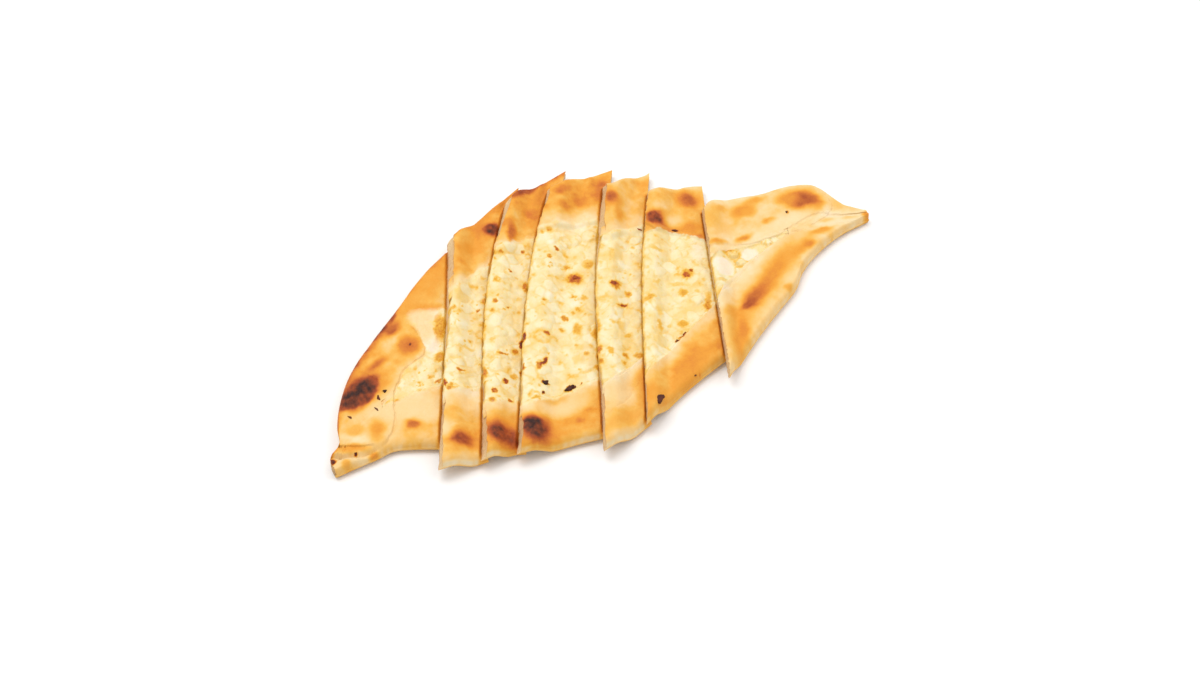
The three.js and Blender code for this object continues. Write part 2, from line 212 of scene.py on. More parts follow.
# %% Seven slices
SLICES = {
    "slice_1": dict(
        lower=[(-195, -2), (-185, -2.5), (-169, -3.5), (-157, -3.5), (-145, -9), (-128, -19.5)],
        upper=[
            (-192, 10), (-183, 15), (-177, 29), (-171, 39), (-160, 52.5), (-148, 63), (-130, 74.5),
            (-104, 89.5), (-77, 105.8), (-58, 114), (-43.5, 119),
        ],
        bows=(1, 0), bevel=(0, 0), under=(0, 0), over=(6.5, 9),
        low=(0.36, 0.31, 0.29), high=(0.37, 0.5, 0.67), tray=(0.5, 1),
        brown_low=(0.4, 0.38, 0.26), brown_high=(0.8, 0.47, 0.3), lip=(0.4, 0.86),
        run_low=(1.5, 3, 2), run_high=(40, 14, 1.2), rim_run=17, seam=0.4, tip_run=34,
    ),
    "slice_2": dict(
        lower=[(-143.5, -34), (-131, -36.5), (-113, -40)],
        upper=[(-50.5, 119), (-15, 131), (15.5, 141)],
        bows=(-1, 6), bevel=(3, 3.2, 1.8, 6.8, 7.4, 7.4), under=(6.5, 9), over=(5.5, 9.5),
        low=(0.3, 0.27, 0.24), high=(0.7, 0.71, 0.72), tray=(0, 1),
        brown_low=(0.38, 0.48, 0.12), brown_high=(0.72, 0.52, 0.12), lip=(0.15, 0.8),
        run_low=(2.5, 4, 3), run_high=(9, 9, 8),
    ),
    "slice_3": dict(
        lower=[(-119, -41.5), (-97, -44), (-91, -47)],
        upper=[(-2, 129.5), (14, 133.6), (28, 134.8), (49.5, 137.5)],
        bows=(6, 5), bevel=(4.3, 3, 1, 1, 4, 9), under=(5.5, 9.5), over=(7, 11.5),
        low=(0.19, 0.17, 0.16), high=(0.77, 0.755, 0.74), tray=(0, 1),
        brown_low=(0.5, 0.58, 0.26), brown_high=(0.75, 0.57, 0.4), lip=(0.2, 0.84),
        run_low=(4, 5, 4), run_high=(6, 7, 5),
    ),
    "slice_4": dict(
        lower=[(-98.5, -48.5), (-78, -53.5), (-62, -57), (-41.5, -62.5)],
        upper=[(27.5, 125), (51.5, 124.5), (76, 122)],
        bows=(5, 4.5), bevel=(3.5, 2.3, 0.7, 0.7, 1.4, 4), under=(7, 11.5), over=(6.5, 7.5),
        low=(0.15, 0.165, 0.2), high=(0.82, 0.805, 0.79), tray=(0, 1),
        brown_low=(0.54, 0.62, 0.26), brown_high=(0.56, 0.59, 0.22), lip=(0.3, 0.6),
        run_low=(2, 4, 2), run_high=(4, 3, 6),
    ),
    "slice_5": dict(
        lower=[(-53.5, -74), (-34, -71.5), (-15.5, -67.5)],
        upper=[(60, 108.5), (68, 106), (80.8, 108.1), (91.4, 106.4), (95.5, 107)],
        bows=(4.5, 3), bevel=(2, 2.5, 0.7, 0.7, 4.6, 3), under=(6.5, 7.5), over=(5, 5),
        low=(0.21, 0.235, 0.25), high=(0.775, 0.77, 0.76), tray=(0, 1),
        brown_low=(0.34, 0.46, 0.1), brown_high=(0.38, 0.5, 0.22), lip=(0.2, 0.16),
        run_low=(0.6, 1.6, 0.8), run_high=(3, 4, 2.5), freckled=0.6,
    ),
    "slice_6": dict(
        lower=[(-21, -70.5), (-8, -66), (11, -59.5), (30, -54.5), (50, -50.3)],
        upper=[(81.5, 88), (86.9, 87.2), (90.8, 86.6), (102, 84), (109.8, 82.8), (118, 78.5)],
        bows=(3, 0), bevel=(1, 1, 0.6, 0.6, 0.6, 1), under=(5, 5), over=(1, 3.5),
        low=(0.18, 0.23, 0.3), high=(0.796, 0.761, 0.645), tray=(0, 1),
        brown_low=(0.55, 0.6, 0.24), brown_high=(0.36, 0.48, 0.6), lip=(0.42, 0.32),
        run_low=(1, 3, 1), run_high=(0.3, 2, 0.8), freckled=0.4,
    ),
    "slice_7": dict(
        lower=[
            (41, -67), (66, -52), (86, -41.5), (102, -34), (120, -25.5), (131, -16.5), (146, -9),
            (171, -2.5), (194.5, -1.5),
        ],
        upper=[
            (103, 56), (113, 60), (127, 58), (144, 52.5), (170, 46.5), (181, 38.5), (184, 27),
            (187, 14.5), (195, 3),
        ],
        bows=(0, 0), bevel=(1, 0.8, 1.2), under=(1, 3.5), over=(0, 0),
        low=(0.43, 0.505, 0.525), high=(0.68, 0.62, 0.55), tray=(0, 0.5),
        brown_low=(0.36, 0.32, 0.12), brown_high=(0.24, 0.34, 0.2), lip=(0.32, 0.16),
        run_low=(0.3, 1.6, 0.8), run_high=(0.3, 1.6, 0.8), seam=1,
    ),
}
USUAL = dict(rim_run=7, seam=SEAM_DEPTH, tip_run=9, freckled=1)
for name in SLICES:
    SLICES[name] = {**USUAL, **SLICES[name]}
print(len(SLICES), "slices")

# %% [markdown]
# ## Outlines and cuts
#
# The outlines are smooth curves through a few measured points. A Catmull-Rom curve goes
# through every one of its points, so it is easy to measure off a real bread, where the
# handles of a Bezier curve would have to be guessed. The four edges of a slice are then
# filled in with a Coons patch, which is a rubber sheet held by its rim: it needs no more
# points inside.

# %% Curves, cuts and the sheet between them
def smooth_curve(points, steps=60):
    """Table of share of the length, x and y along a curve through the points. Between two of
    them it is a cubic whose end slopes come from the neighbours on either side, each
    counted by the square root of its distance."""
    p = np.array(points, float)
    p = np.vstack([2 * p[0] - p[1], p, 2 * p[-1] - p[-2]])
    gap = np.sqrt(np.linalg.norm(np.diff(p, axis=0), axis=1))
    u = np.linspace(0, 1, steps, endpoint=False)[:, None]
    stretches = []
    for k in range(1, len(p) - 2):
        here, there = p[k], p[k + 1]
        straight = (there - here) / gap[k]
        before = (here - p[k - 1]) / gap[k - 1] - (there - p[k - 1]) / (gap[k - 1] + gap[k]) + straight
        after = straight - (p[k + 2] - here) / (gap[k] + gap[k + 1]) + (p[k + 2] - there) / gap[k + 1]
        cubic = (2 * u**3 - 3 * u**2 + 1) * here + (3 * u**2 - 2 * u**3) * there
        cubic += (u**3 - 2 * u**2 + u) * before * gap[k] + (u**3 - u**2) * after * gap[k]
        stretches.append(cubic)
    line = np.vstack([*stretches, p[-2:-1]])
    walked = np.concatenate([[0], np.cumsum(np.linalg.norm(np.diff(line, axis=0), axis=1))])
    return np.column_stack([walked / walked[-1], line])


def on_curve(table, share):
    """The x and the y at a share of the curve's length, read off its table."""
    return np.interp(share, table[:, 0], table[:, 1]), np.interp(share, table[:, 0], table[:, 2])


def on_cut(cut, side, t):
    """A point of the left (0) or right (1) cut: on the straight line between its ends,
    pushed to the left by its bow times the sine of half a turn times t to a power."""
    x0, y0 = cut["lower"][-side]
    x1, y1 = cut["upper"][-side]
    length = np.hypot(x1 - x0, y1 - y0)
    bend = cut["bows"][side] * np.sin(np.pi * t**BEND_SKEW) / length
    return mix(x0, x1, t) - (y1 - y0) * bend, mix(y0, y1, t) + (x1 - x0) * bend


def on_sheet(cut, s, t):
    """Coons patch: the blend of the two outlines, plus the blend of the two cuts, less the
    blend of the four corners."""
    lower, upper = on_curve(cut["lower_curve"], s), on_curve(cut["upper_curve"], s)
    left, right = on_cut(cut, 0, t), on_cut(cut, 1, t)
    place = []
    for axis in (0, 1):
        outlines = mix(lower[axis], upper[axis], t)
        cuts = mix(left[axis], right[axis], s)
        low = mix(cut["lower"][0][axis], cut["lower"][-1][axis], s)
        high = mix(cut["upper"][0][axis], cut["upper"][-1][axis], s)
        place.append(outlines + cuts - mix(low, high, t))
    return place


for cut in SLICES.values():
    cut["lower_curve"] = smooth_curve(cut["lower"])
    cut["upper_curve"] = smooth_curve(cut["upper"])
centre = on_sheet(SLICES["slice_4"], 0.5, np.array(0.5))
print("slice 4 is centred on (%.0f, %.0f) mm" % tuple(centre))

# %% [markdown]
# ## How far from a line
#
# Folds, and the rim of the slice that lies on top, are lines in the plan. What they do to
# the bread depends on the distance from the line and on the side of it, so one function
# measures both. The line on top of a slice is the next slice's outline: along its lower
# edge to the left, up its cut and back along its upper edge. Where a slice reaches past
# that outline at its upper end, it lies open.

# %% Distance from a line, and the outline on top
def beside(line, x, y):
    """Distance from a line of straight stretches (rows of share, x, y), counted above zero
    to its left and below zero to its right, and the share of it walked. A perpendicular is
    dropped on every stretch, and the nearest one counts. Past a sharp corner two stretches
    are equally near, and the one seen more from its side counts."""
    best, signed, walked = np.full(x.shape, np.inf), np.zeros(x.shape), np.zeros(x.shape)
    for (w0, x0, y0), (w1, x1, y1) in zip(line, line[1:]):
        dx, dy = x1 - x0, y1 - y0
        share = np.clip(((x - x0) * dx + (y - y0) * dy) / (dx * dx + dy * dy), 0, 1)
        off_x, off_y = x - x0 - share * dx, y - y0 - share * dy
        away, side = np.hypot(off_x, off_y), (dx * off_y - dy * off_x) / np.hypot(dx, dy)
        rated = away - 0.001 * np.abs(side)
        nearer = rated < best
        best = np.where(nearer, rated, best)
        signed = np.where(nearer, away * np.sign(side), signed)
        walked = np.where(nearer, mix(w0, w1, share), walked)
    return signed, walked


NEVER = 2  # a share of the length that no place reaches


def left_outline(cut):
    """The line round a slice's left part, with the slice on its right side."""
    lower = on_curve(cut["lower_curve"], np.linspace(0.6, 0, 6))
    left = on_cut(cut, 0, np.linspace(0, 1, 14)[1:-1])
    upper = on_curve(cut["upper_curve"], np.linspace(0, 0.8, 7))
    points = np.hstack([lower, left, upper]).T
    return np.column_stack([np.linspace(0, 1, len(points)), points])


for cut, following in zip(SLICES.values(), [*list(SLICES.values())[1:], None]):
    cut["on_top"], cut["open_from"] = None, NEVER
    if following:
        cut["on_top"] = left_outline(following)
        ends = [cut["lower"][-1], cut["upper"][-1], following["upper"][0]]
        start, end, reached = np.array(ends, float)
        share = (reached - start) @ (end - start) / ((end - start) @ (end - start))
        # Where the next slice's corner comes this near the end of the cut, none lies open.
        cut["open_from"] = share if share < 0.97 else NEVER
opened = [name for name, cut in SLICES.items() if cut["open_from"] < 1]
print("slices that lie open at their upper end:", opened)

# %% [markdown]
# ## Measures of a slice
#
# No slice is as wide at one end as at the other, and the cheese lies nearer to one end
# than to the other. The widths and lengths are measured off the outlines. A table of the
# cheese's place for every column would be long, so three numbers are joined by a parabola.

# %% Spans, lengths and widths
def parabola(values, share):
    """The parabola through a start, a middle and an end value."""
    start, middle, end = values
    first = (1 - share) * (1 - 2 * share) * start
    return first + 4 * share * (1 - share) * middle + share * (2 * share - 1) * end


def leaning(values, share):
    """The values stand evenly spaced from share 0 to 1, and each eases into the next."""
    step = np.clip(share, 0, 0.999) * (len(values) - 1)
    before, values = np.floor(step).astype(int), np.array(values, float)
    return mix(values[before], values[before + 1], ease(step - before, 0, 1))


def cheese_span(cut, s):
    """Where the cheese begins and ends, as shares of the slice's length, at s."""
    begin, end = cut["tray"]
    share = np.clip((s - begin) / (end - begin), 0, 1)
    low = parabola(cut["low"], share)
    return low, np.maximum(parabola(cut["high"], share), low + SEAM_WIDTH)


def slice_length(cut, s):
    """Distance between the lower and the upper outline at s."""
    (x0, y0), (x1, y1) = on_curve(cut["lower_curve"], s), on_curve(cut["upper_curve"], s)
    return np.hypot(x1 - x0, y1 - y0)


def slice_width(cut, t):
    """Distance between the two cuts at t."""
    (x0, y0), (x1, y1) = on_cut(cut, 0, t), on_cut(cut, 1, t)
    return np.hypot(x1 - x0, y1 - y0)


def widest(cut):
    """The larger of the widths at the two ends and in the middle."""
    return slice_width(cut, np.array([0, 0.5, 1])).max()


def is_tip(cut):
    """Whether the cheese ends inside the slice, as it does on the first and the last."""
    return cut["tray"] != (0, 1)


def tip_scale(cut, length):
    """1, but where a tip is shorter than TIP_SHRINK, the share of that length it has."""
    return np.minimum(1, length / TIP_SHRINK) if is_tip(cut) else np.ones(length.shape)


print("widths in mm:", [round(float(widest(cut))) for cut in SLICES.values()])

# %% [markdown]
# ## What a place on a slice feels
#
# The height of the bread at a place depends on how far it is from the outer edge, where
# the border is rounded, and from the two cuts, where the knife and the neighbours press
# or lift it. It is handy to work all of that out once for a whole grid of places.

# %% Distances, lift and press
def feel(cut, s, t, height):
    """Everything the heights need at (s, t): its place in the plan, leant back from the left
    cut in step with height, its distances from the outer edge and the cuts, and how far
    it is lifted and pressed there."""
    width, length = slice_width(cut, t), slice_length(cut, s)
    along, own = t * length, 0 * t + 10 * width
    wander = hills(along, own, 13, 22) + 0.3 * hills(along, own, 5, 23)
    lean = leaning(cut["bevel"], t) + 0.4 * clouds(along, own, 8, 21, 2)
    s = mix((wander + height / CREST * lean) / width, 1, s)
    far = np.full(s.shape, np.inf)
    scale = tip_scale(cut, length)
    is_open = ease(t, cut["open_from"] - 0.01, cut["open_from"] + 0.07)
    left_margin, right_margin = mix(*cut["under"], t) + MARGIN, mix(*cut["over"], t) + MARGIN
    from_left = s * width if cut["under"][1] else far
    from_right = (1 - s) * width if cut["over"][1] else far
    run = np.minimum(LIFT_RUN, width - left_margin - right_margin)
    x, y = on_sheet(cut, s, t)
    outside = beside(cut["on_top"], x, y)[0] if cut["on_top"] is not None else far
    dip = is_open * (1 - ease(from_right, right_margin, right_margin + OPEN_RUN))
    return dict(
        x=x, y=y, s=s, t=t, length=length, width=width, scale=scale,
        edge=np.minimum(t, 1 - t) * length / scale,
        cut_edge=np.minimum(from_left, from_right),
        lift=LIFT * (1 - ease(from_left, left_margin, left_margin + run)),
        outside=outside, press=np.maximum(1 - ease(outside, -0.3, PRESS_RUN), dip),
    )


middle = feel(SLICES["slice_4"], np.array(0.5), np.array(0.5), 0)
print("the middle of slice 4 is %.0f mm from its outer edge" % middle["edge"])

# %% [markdown]
# ## Folds and dents
#
# Where one layer of dough lies over another there is a line with a high and a low side.
# A fold is a path through a few points: the ground steps up just to the left of it, falls
# back slowly beyond, and sinks into a narrow groove along it. Dents and blisters are
# ovals that push the ground down or up. All of it could be sculpted by hand, but a path of
# a few points is quick to move when it doesn't match the real bread yet.

# %% Steps of the folds, and ovals
def fold_height(fold, x, y):
    """The step, rise high at the path and falling off with e^(-distance / run) to its left,
    less a groove that is a bell across the path; both fade out at the path's ends."""
    path, rise, run, groove, groove_width = fold
    wavy_x, wavy_y = x + 0.6 * hills(x, y, 5, 71), y + 0.6 * hills(x, y, 5, 72)
    signed, walked = beside(smooth_curve(path, 6), wavy_x, wavy_y)
    fade = ease(walked, 0, 0.12) * (1 - ease(walked, 0.88, 1))
    step = rise * ease(signed, -0.4, 0.5) * np.exp(-np.maximum(signed, 0) / run)
    return fade * (step - groove * np.exp(-(((signed + 0.3) / groove_width) ** 2)))


def turned(x, y, degrees):
    """The point turned to the left round the origin: x cos - y sin, and x sin + y cos."""
    c, s = np.cos(np.radians(degrees)), np.sin(np.radians(degrees))
    return x * c - y * s, x * s + y * c


def oval(x, y, mark):
    """Distance from a mark's middle, 1 on its oval. A mark starts with its middle's x and y,
    half its length, half its width and its turn in degrees."""
    mx, my, long, short, turn = mark[:5]
    along, across = turned(x - mx, y - my, -turn)
    return np.hypot(along / long, across / short)


print("on its oval, a mark's distance is", oval(3, 0, (0, 0, 3, 2, 0)))

# %% [markdown]
# ## Where it was folded
#
# The long folds are the free edges of the two borders at the tips, where they cross, and
# the wrinkles that the dough made as it rose. Each belongs to one slice, because the
# slices were pushed apart after the cut. A negative rise makes a step down.

# %% Folds and swellings of each slice
# Path, rise, run, depth and width of the groove.
FOLDS = {
    "slice_1": [
        ([(-168, -1), (-160, 0), (-154, 4), (-147, 13), (-142, 23), (-136, 33),
          (-130, 38), (-125, 43)], 1.1, 7, 0.5, 0.9),
        ([(-187, 12.6), (-183, 11), (-177, 7.6), (-171, 4), (-165, 1)], 1.1, 5, 0.3, 0.9),
        ([(-199, 10), (-191.4, 8), (-182.6, 3.2), (-172.4, -1), (-164, -0.5)], 0, 1, 3, 1.5),
        ([(-130, 37), (-126, 42), (-120, 45), (-108, 47.5), (-105, 51),
          (-103.4, 58), (-102.5, 68), (-104, 76)], 0.8, 9, 0.05, 1.2),
        ([(-100, 18), (-112, 21), (-122, 27), (-134, 31)], 0.6, 9, 0.3, 0.8),
        ([(-137, 43), (-141, 46), (-143.5, 50.5), (-147.5, 57), (-153, 62)], 0.8, 5, 0.4, 0.8),
    ],
    "slice_2": [([(-138, -8), (-126, -12), (-112, -14), (-104, -16)], -0.5, 7, 0.2, 1)],
    "slice_3": [
        ([(-42, 81), (-34, 77), (-26, 75), (-14, 73)], 0.5, 6, 0.35, 0.7),
        ([(-108, -17), (-97, -20), (-88, -25), (-80, -28)], -0.5, 7, 0.2, 1),
    ],
    "slice_4": [
        ([(20, 72), (26, 73), (36, 72)], 0.4, 6, 0.5, 0.6),
        ([(-22, -28), (-34, -23), (-44, -23), (-51, -24), (-62, -23), (-76, -20)], 0.5, 6, 0.2, 0.7),
        ([(-74, -27), (-71, -34), (-65, -39), (-56, -42), (-46, -42), (-36, -46)], -0.9, 10, 0.3, 1.4),
    ],
    "slice_5": [
        ([(10, -22), (4, -24), (-8, -29.5), (-19, -33.5), (-27, -33), (-34, -33)], 0.6, 6, 0.2, 0.6),
        ([(-41, -56), (-33, -54), (-21, -50), (-11, -43), (-3, -40)], -0.7, 8, 0.3, 1.2),
    ],
    "slice_6": [
        ([(56, 68), (63.6, 62.9), (67.9, 54.5), (71.5, 49), (79, 47),
          (84, 42.1), (87.7, 38.5), (92.2, 35.4), (99, 31)], 1, 5, 0.5, 0.7),
        ([(76, -6), (67, -10), (52, -18.5), (41, -21.7), (34, -23.3),
          (26, -24.4), (18, -25), (10, -25), (0, -28)], 0.7, 6, 0.3, 0.7),
        ([(38, 8), (46, 11), (52, 14), (59, 14), (66, 7)], -0.6, 6, 0.3, 0.8),
    ],
    "slice_7": [
        ([(180, 44), (180, 34), (180, 24), (178, 17), (172, 13), (164, 11),
          (154, 12)], -0.9, 7, 0.25, 1.2),
        ([(162, 14), (168, 16), (179, 14), (184, 12), (188.5, 6), (197, 2)], -0.4, 3, 0.2, 1.2),
        ([(151, 10), (159, 8), (171, 3), (184, -1), (197, -2)], 0.3, 4, 0.2, 1.2),
        ([(80, 27), (88.2, 25), (101, 23.5), (118.2, 17), (138.3, 13.7), (153, 9)], 0.7, 5, 0.25, 0.8),
        ([(158, 8), (136, 11), (118.2, 8.7), (101.4, 1.9), (82.8, -6.3),
          (71.5, -11.8), (60, -19)], 0.8, 5, 0.3, 0.8),
    ],
}
# Middle x and y, half length, half width, turn in degrees, height of its middle.
SWELLINGS = {
    "slice_1": [
        (-160, 40, 13, 9, 30, 1.3), (-112, 60, 9, 9, 0, 0.7), (-160, 9, 7, 9, -32, 1),
        (-139, 4, 8, 6, -32, 0.6), (-96, 66, 8, 14, 10, -1.2),
    ],
    "slice_2": [(-22, 116, 8, 8, 0, 0.6), (-122, -24, 9, 7, -32, 0.8)],
    "slice_3": [(-101, -33, 7, 9, -32, 0.8), (15, 118, 12, 9, 0, 0.5)],
    "slice_4": [(-81, -41, 9, 10, -32, 1), (40, 112, 12, 8, 0, 0.6), (-58, -31, 16, 6, -10, -0.7)],
    "slice_5": [(60, 94, 8, 8, 0, 0.6), (-24, -45, 12, 6, 20, -0.6)],
    "slice_6": [(73, 64, 10, 9, -32, 0.7), (103, 70, 9, 8, -32, 0.6), (22, -47, 18, 9, 15, 0.6)],
    "slice_7": [
        (164, 33, 15, 11, -32, 1.1), (96, -18, 16, 6, 28, -0.8), (118, -5, 14, 6, 28, -0.5),
        (128, 45, 12, 8, -20, 0.6), (64, -44, 10, 16, -32, 0.5), (181, 9, 9, 4, -20, -0.7),
    ],
}
print(sum(map(len, FOLDS.values())), "folds,", sum(map(len, SWELLINGS.values())), "swellings")

# %% [markdown]
# ## Where the oven browned it
#
# Colour follows heat: thin and raised places brown first. Browning is kept as one number
# from 0, raw dough, to 1, burnt, which a material can later turn into a colour. A border
# has a browning of its own from rim to inner edge, clouds make it uneven, and marks set
# the spots that are plainly seen. They could be painted on the mesh, but a table of ovals
# keeps them sharp at any density of the mesh.

# %% Marks of the oven on the dough
# Middle x and y, half length, half width, turn in degrees, browning, blur of the rim.
CRUST_MARKS = {
    "slice_1": [
        (-146, 22, 16, 11, -32, 0.26, 0.8), (-131, 14, 15, 9, -32, 0.25, 0.8),
        (-74, 99, 13, 9, 32, 0.6, 0.8), (-96, 88, 12, 7, 30, 0.58, 0.8),
        (-150, 44, 17, 11, 20, 0.68, 0.6), (-157, 41, 14, 8.5, 28, 0.9, 0.35),
        (-161, 41, 6.5, 4, 25, 0.93, 0.5), (-150, 43, 7.5, 5.5, 20, 0.94, 0.5),
        (-154, 36, 5, 3, 10, 0.88, 0.6), (-168, 37, 4, 3, 30, 0.88, 0.5),
        (-143, 47, 4, 3.5, 0, 0.84, 0.6), (-136, 56, 8, 3, 12, 0.76, 0.8),
        (-111.3, 59, 7.4, 7.6, -32, 0.72, 0.45), (-111.3, 59, 3, 3, 0, 0.76, 0.8),
        (-111, 58.9, 0.7, 0.7, 0, 0.97, 0.3), (-114, 75.5, 7, 3.8, 30, 0.79, 0.6),
        (-109.6, 84.5, 6.5, 2.2, 38, 0.83, 0.5), (-88, 80.5, 8, 2.6, -32, 0.62, 0.8),
        (-139, 3, 5.4, 4, -32, 0.7, 0.8), (-139, 3, 3.4, 2.4, -32, 0.76, 0.7),
        (-160, 11, 5, 8, -25, 0.64, 0.7), (-171.5, 17, 5, 3.4, -32, 0.56, 0.8),
        (-172, 19, 6, 3.4, -32, 0.52, 0.8), (-179, 7, 10, 3.2, -30, 0.6, 0.6),
        (-181, 0, 9, 3, -20, 0.22, 0.7), (-186.8, -0.7, 3, 3, -32, 0.56, 0.7),
        (-169.9, -3.4, 3, 2, 0, 0.66, 0.7), (-178.7, 2.8, 1, 0.8, 0, 0.92, 0.4),
        (-193, 4.4, 1.9, 2.6, -32, 0.92, 0.5),
    ],
    "slice_2": [
        (-40, 108, 8, 6, 20, 0.62, 0.8), (-10, 130, 20, 4, 18, 0.66, 0.8),
        (-25, 118, 9, 7, 0, 0.7, 0.8), (-19, 115.5, 5.4, 5.4, 0, 0.89, 0.5),
        (-122, -24, 9, 6.6, -32, 0.72, 0.6), (-122, -24, 6.6, 4.8, -32, 0.84, 0.6),
        (-128, -12, 6, 7, 0, 0.24, 0.8),
    ],
    "slice_3": [
        (15, 130, 12, 2.4, 12, 0.83, 0.6), (-12, 103, 2.6, 9, -32, 0.76, 0.7),
        (8, 114, 3.4, 3, 0, 0.74, 0.8), (24, 122, 14, 6, 10, 0.68, 0.8),
        (-99, -32, 9, 11, -20, 0.75, 0.6), (-101, -32, 6, 6.4, -20, 0.87, 0.55),
        (-95, -38, 5, 6.5, -20, 0.85, 0.6),
    ],
    "slice_4": [
        (32, 116, 3.8, 3.2, 0, 0.74, 0.8), (30, 105, 4, 3.4, 0, 0.7, 0.8),
        (41, 106, 5, 4.4, 0, 0.71, 0.8), (62, 113, 4, 5, 0, 0.76, 0.8), (56, 106, 3, 6, -32, 0.74, 0.8),
        (14, 128, 9, 3, 0, 0.72, 0.7), (-79, -42, 11, 11, -32, 0.74, 0.6),
        (-81, -41, 7.6, 9, -20, 0.9, 0.45), (-82, -38.5, 4.4, 5, -20, 0.95, 0.6),
        (-56, -33, 16, 6, -10, 0.28, 0.8), (-58, -25.5, 9, 3, -5, 0.5, 0.8),
    ],
    "slice_5": [
        (58, 94, 6, 6, 0, 0.68, 0.8), (58, 94, 3.6, 3.8, 0, 0.8, 0.7), (55, 80, 2.4, 5, -32, 0.62, 0.8),
        (-22, -46, 12, 7, 20, 0.26, 0.8), (-4, -44, 6, 12, -25, 0.62, 0.8),
        (-30, -62, 12, 5, 10, 0.56, 0.8),
    ],
    "slice_6": [
        (77.5, 61, 12, 6.6, -32, 0.74, 0.7), (73, 63.5, 6.4, 5.4, -25, 0.83, 0.6),
        (71.2, 64.4, 4, 4, 0, 0.88, 0.7), (102, 71, 8, 7.6, -32, 0.7, 0.7),
        (102, 71, 5, 5, -32, 0.8, 0.6), (79.3, 52.4, 1.8, 1, -32, 0.95, 0.3),
        (84, 43.5, 9, 1.6, -42, 0.7, 0.6), (90, 50, 8, 4.5, -32, 0.66, 0.7),
        (84, 60, 6, 5, 0, 0.3, 0.8), (25, -54, 0.9, 1, 0, 0.97, 0.3),
        (28, -54.5, 0.8, 0.8, 0, 0.93, 0.3), (18, -54, 18, 6, 18, 0.62, 0.8),
        (30, -44, 12, 6, 20, 0.66, 0.8), (-8, -56, 8, 7, 0, 0.6, 0.8),
    ],
    "slice_7": [
        (102, 44, 9, 8, 0, 0.5, 0.8), (126, 43.5, 9, 5, -5, 0.66, 0.7), (113, 50, 6, 3, -10, 0.56, 0.8),
        (137.5, 46.5, 7, 2.6, -15, 0.6, 0.8), (137, 27.8, 5, 2.2, -20, 0.7, 0.6),
        (150, 28, 0.9, 1.1, 0, 0.96, 0.3), (164.8, 30, 12.8, 10.6, -42, 0.68, 0.4),
        (165.2, 28.4, 9.6, 7.2, -50, 0.8, 0.5), (156, 37, 7, 5, -20, 0.66, 0.7),
        (113.7, 24, 6, 2.6, 0, 0.66, 0.7), (95, 26.5, 6, 2.2, -8, 0.64, 0.7),
        (128, 40.8, 5, 3, -10, 0.62, 0.8), (106, -14, 44, 8, 31, 0.56, 0.8),
        (112, -11.5, 22, 4.6, 30, 0.66, 0.7), (92, -20.5, 13, 5.2, 27, 0.77, 0.6),
        (84.5, -23.6, 6.5, 3, 15, 0.82, 0.6), (73, -26, 6, 4.5, 30, 0.6, 0.8),
        (139, -3, 12, 4.4, 20, 0.62, 0.8), (70, -40, 4.4, 12, -32, 0.66, 0.7),
        (61, -48, 5, 15, -32, 0.64, 0.8), (70, -40, 2.4, 7, -32, 0.68, 0.8),
        (146, -3, 3.6, 3, 0, 0.68, 0.7), (114, -26, 2.4, 2.4, 0, 0.6, 0.7),
        (160, 3, 9, 2.6, -10, 0.62, 0.7), (148, 22, 16, 5, -5, 0.16, 0.8),
        (175, 6, 15, 4.6, -25, 0.1, 0.6), (168, 9, 5, 2, -25, 0.4, 0.8),
        (182, 3, 5, 1.6, -25, 0.36, 0.8), (193, -0.5, 3.4, 2.6, -32, 0.66, 0.7),
        (183, 17, 4, 6, 0, 0.42, 0.7),
    ],
}


print(sum(map(len, CRUST_MARKS.values())), "marks on the dough")

# %% [markdown]
# ## From marks to browning
#
# On the bread no mark has a clean outline, and the rim of a border is brown in a strip of
# uneven breadth. So each mark's rim is blurred and warped by hills, and the strips fade
# into one another. Last comes a painted shade: a darker line in the crevice beside the
# slice that lies on top.

# %% Browning of the dough, and painted shade beside the next slice
CHARRED = 0.82  # from this browning on, the dough is burnt and rough
CREVICE_SHADE_LEVEL = 0.7  # how dark the painted shade in the crevice beside the next slice is
INNER_BAND = 20  # breadth over which a border passes into the browning at its fold
LIP_BAND = 1.2  # breadth of the very edge


def marked(ground, x, y, marks, seed):
    """The ground number, drawn to each mark's own number inside its blurred and warped oval."""
    x, y = x + 0.9 * clouds(x, y, 6, seed, 2), y + 0.9 * clouds(x, y, 6, seed + 1, 2)
    for mark in marks:
        inside = 1 - ease(oval(x, y, mark), 1 - mark[6], 1 + mark[6])
        ground = mix(ground, mark[5], inside)
    return ground


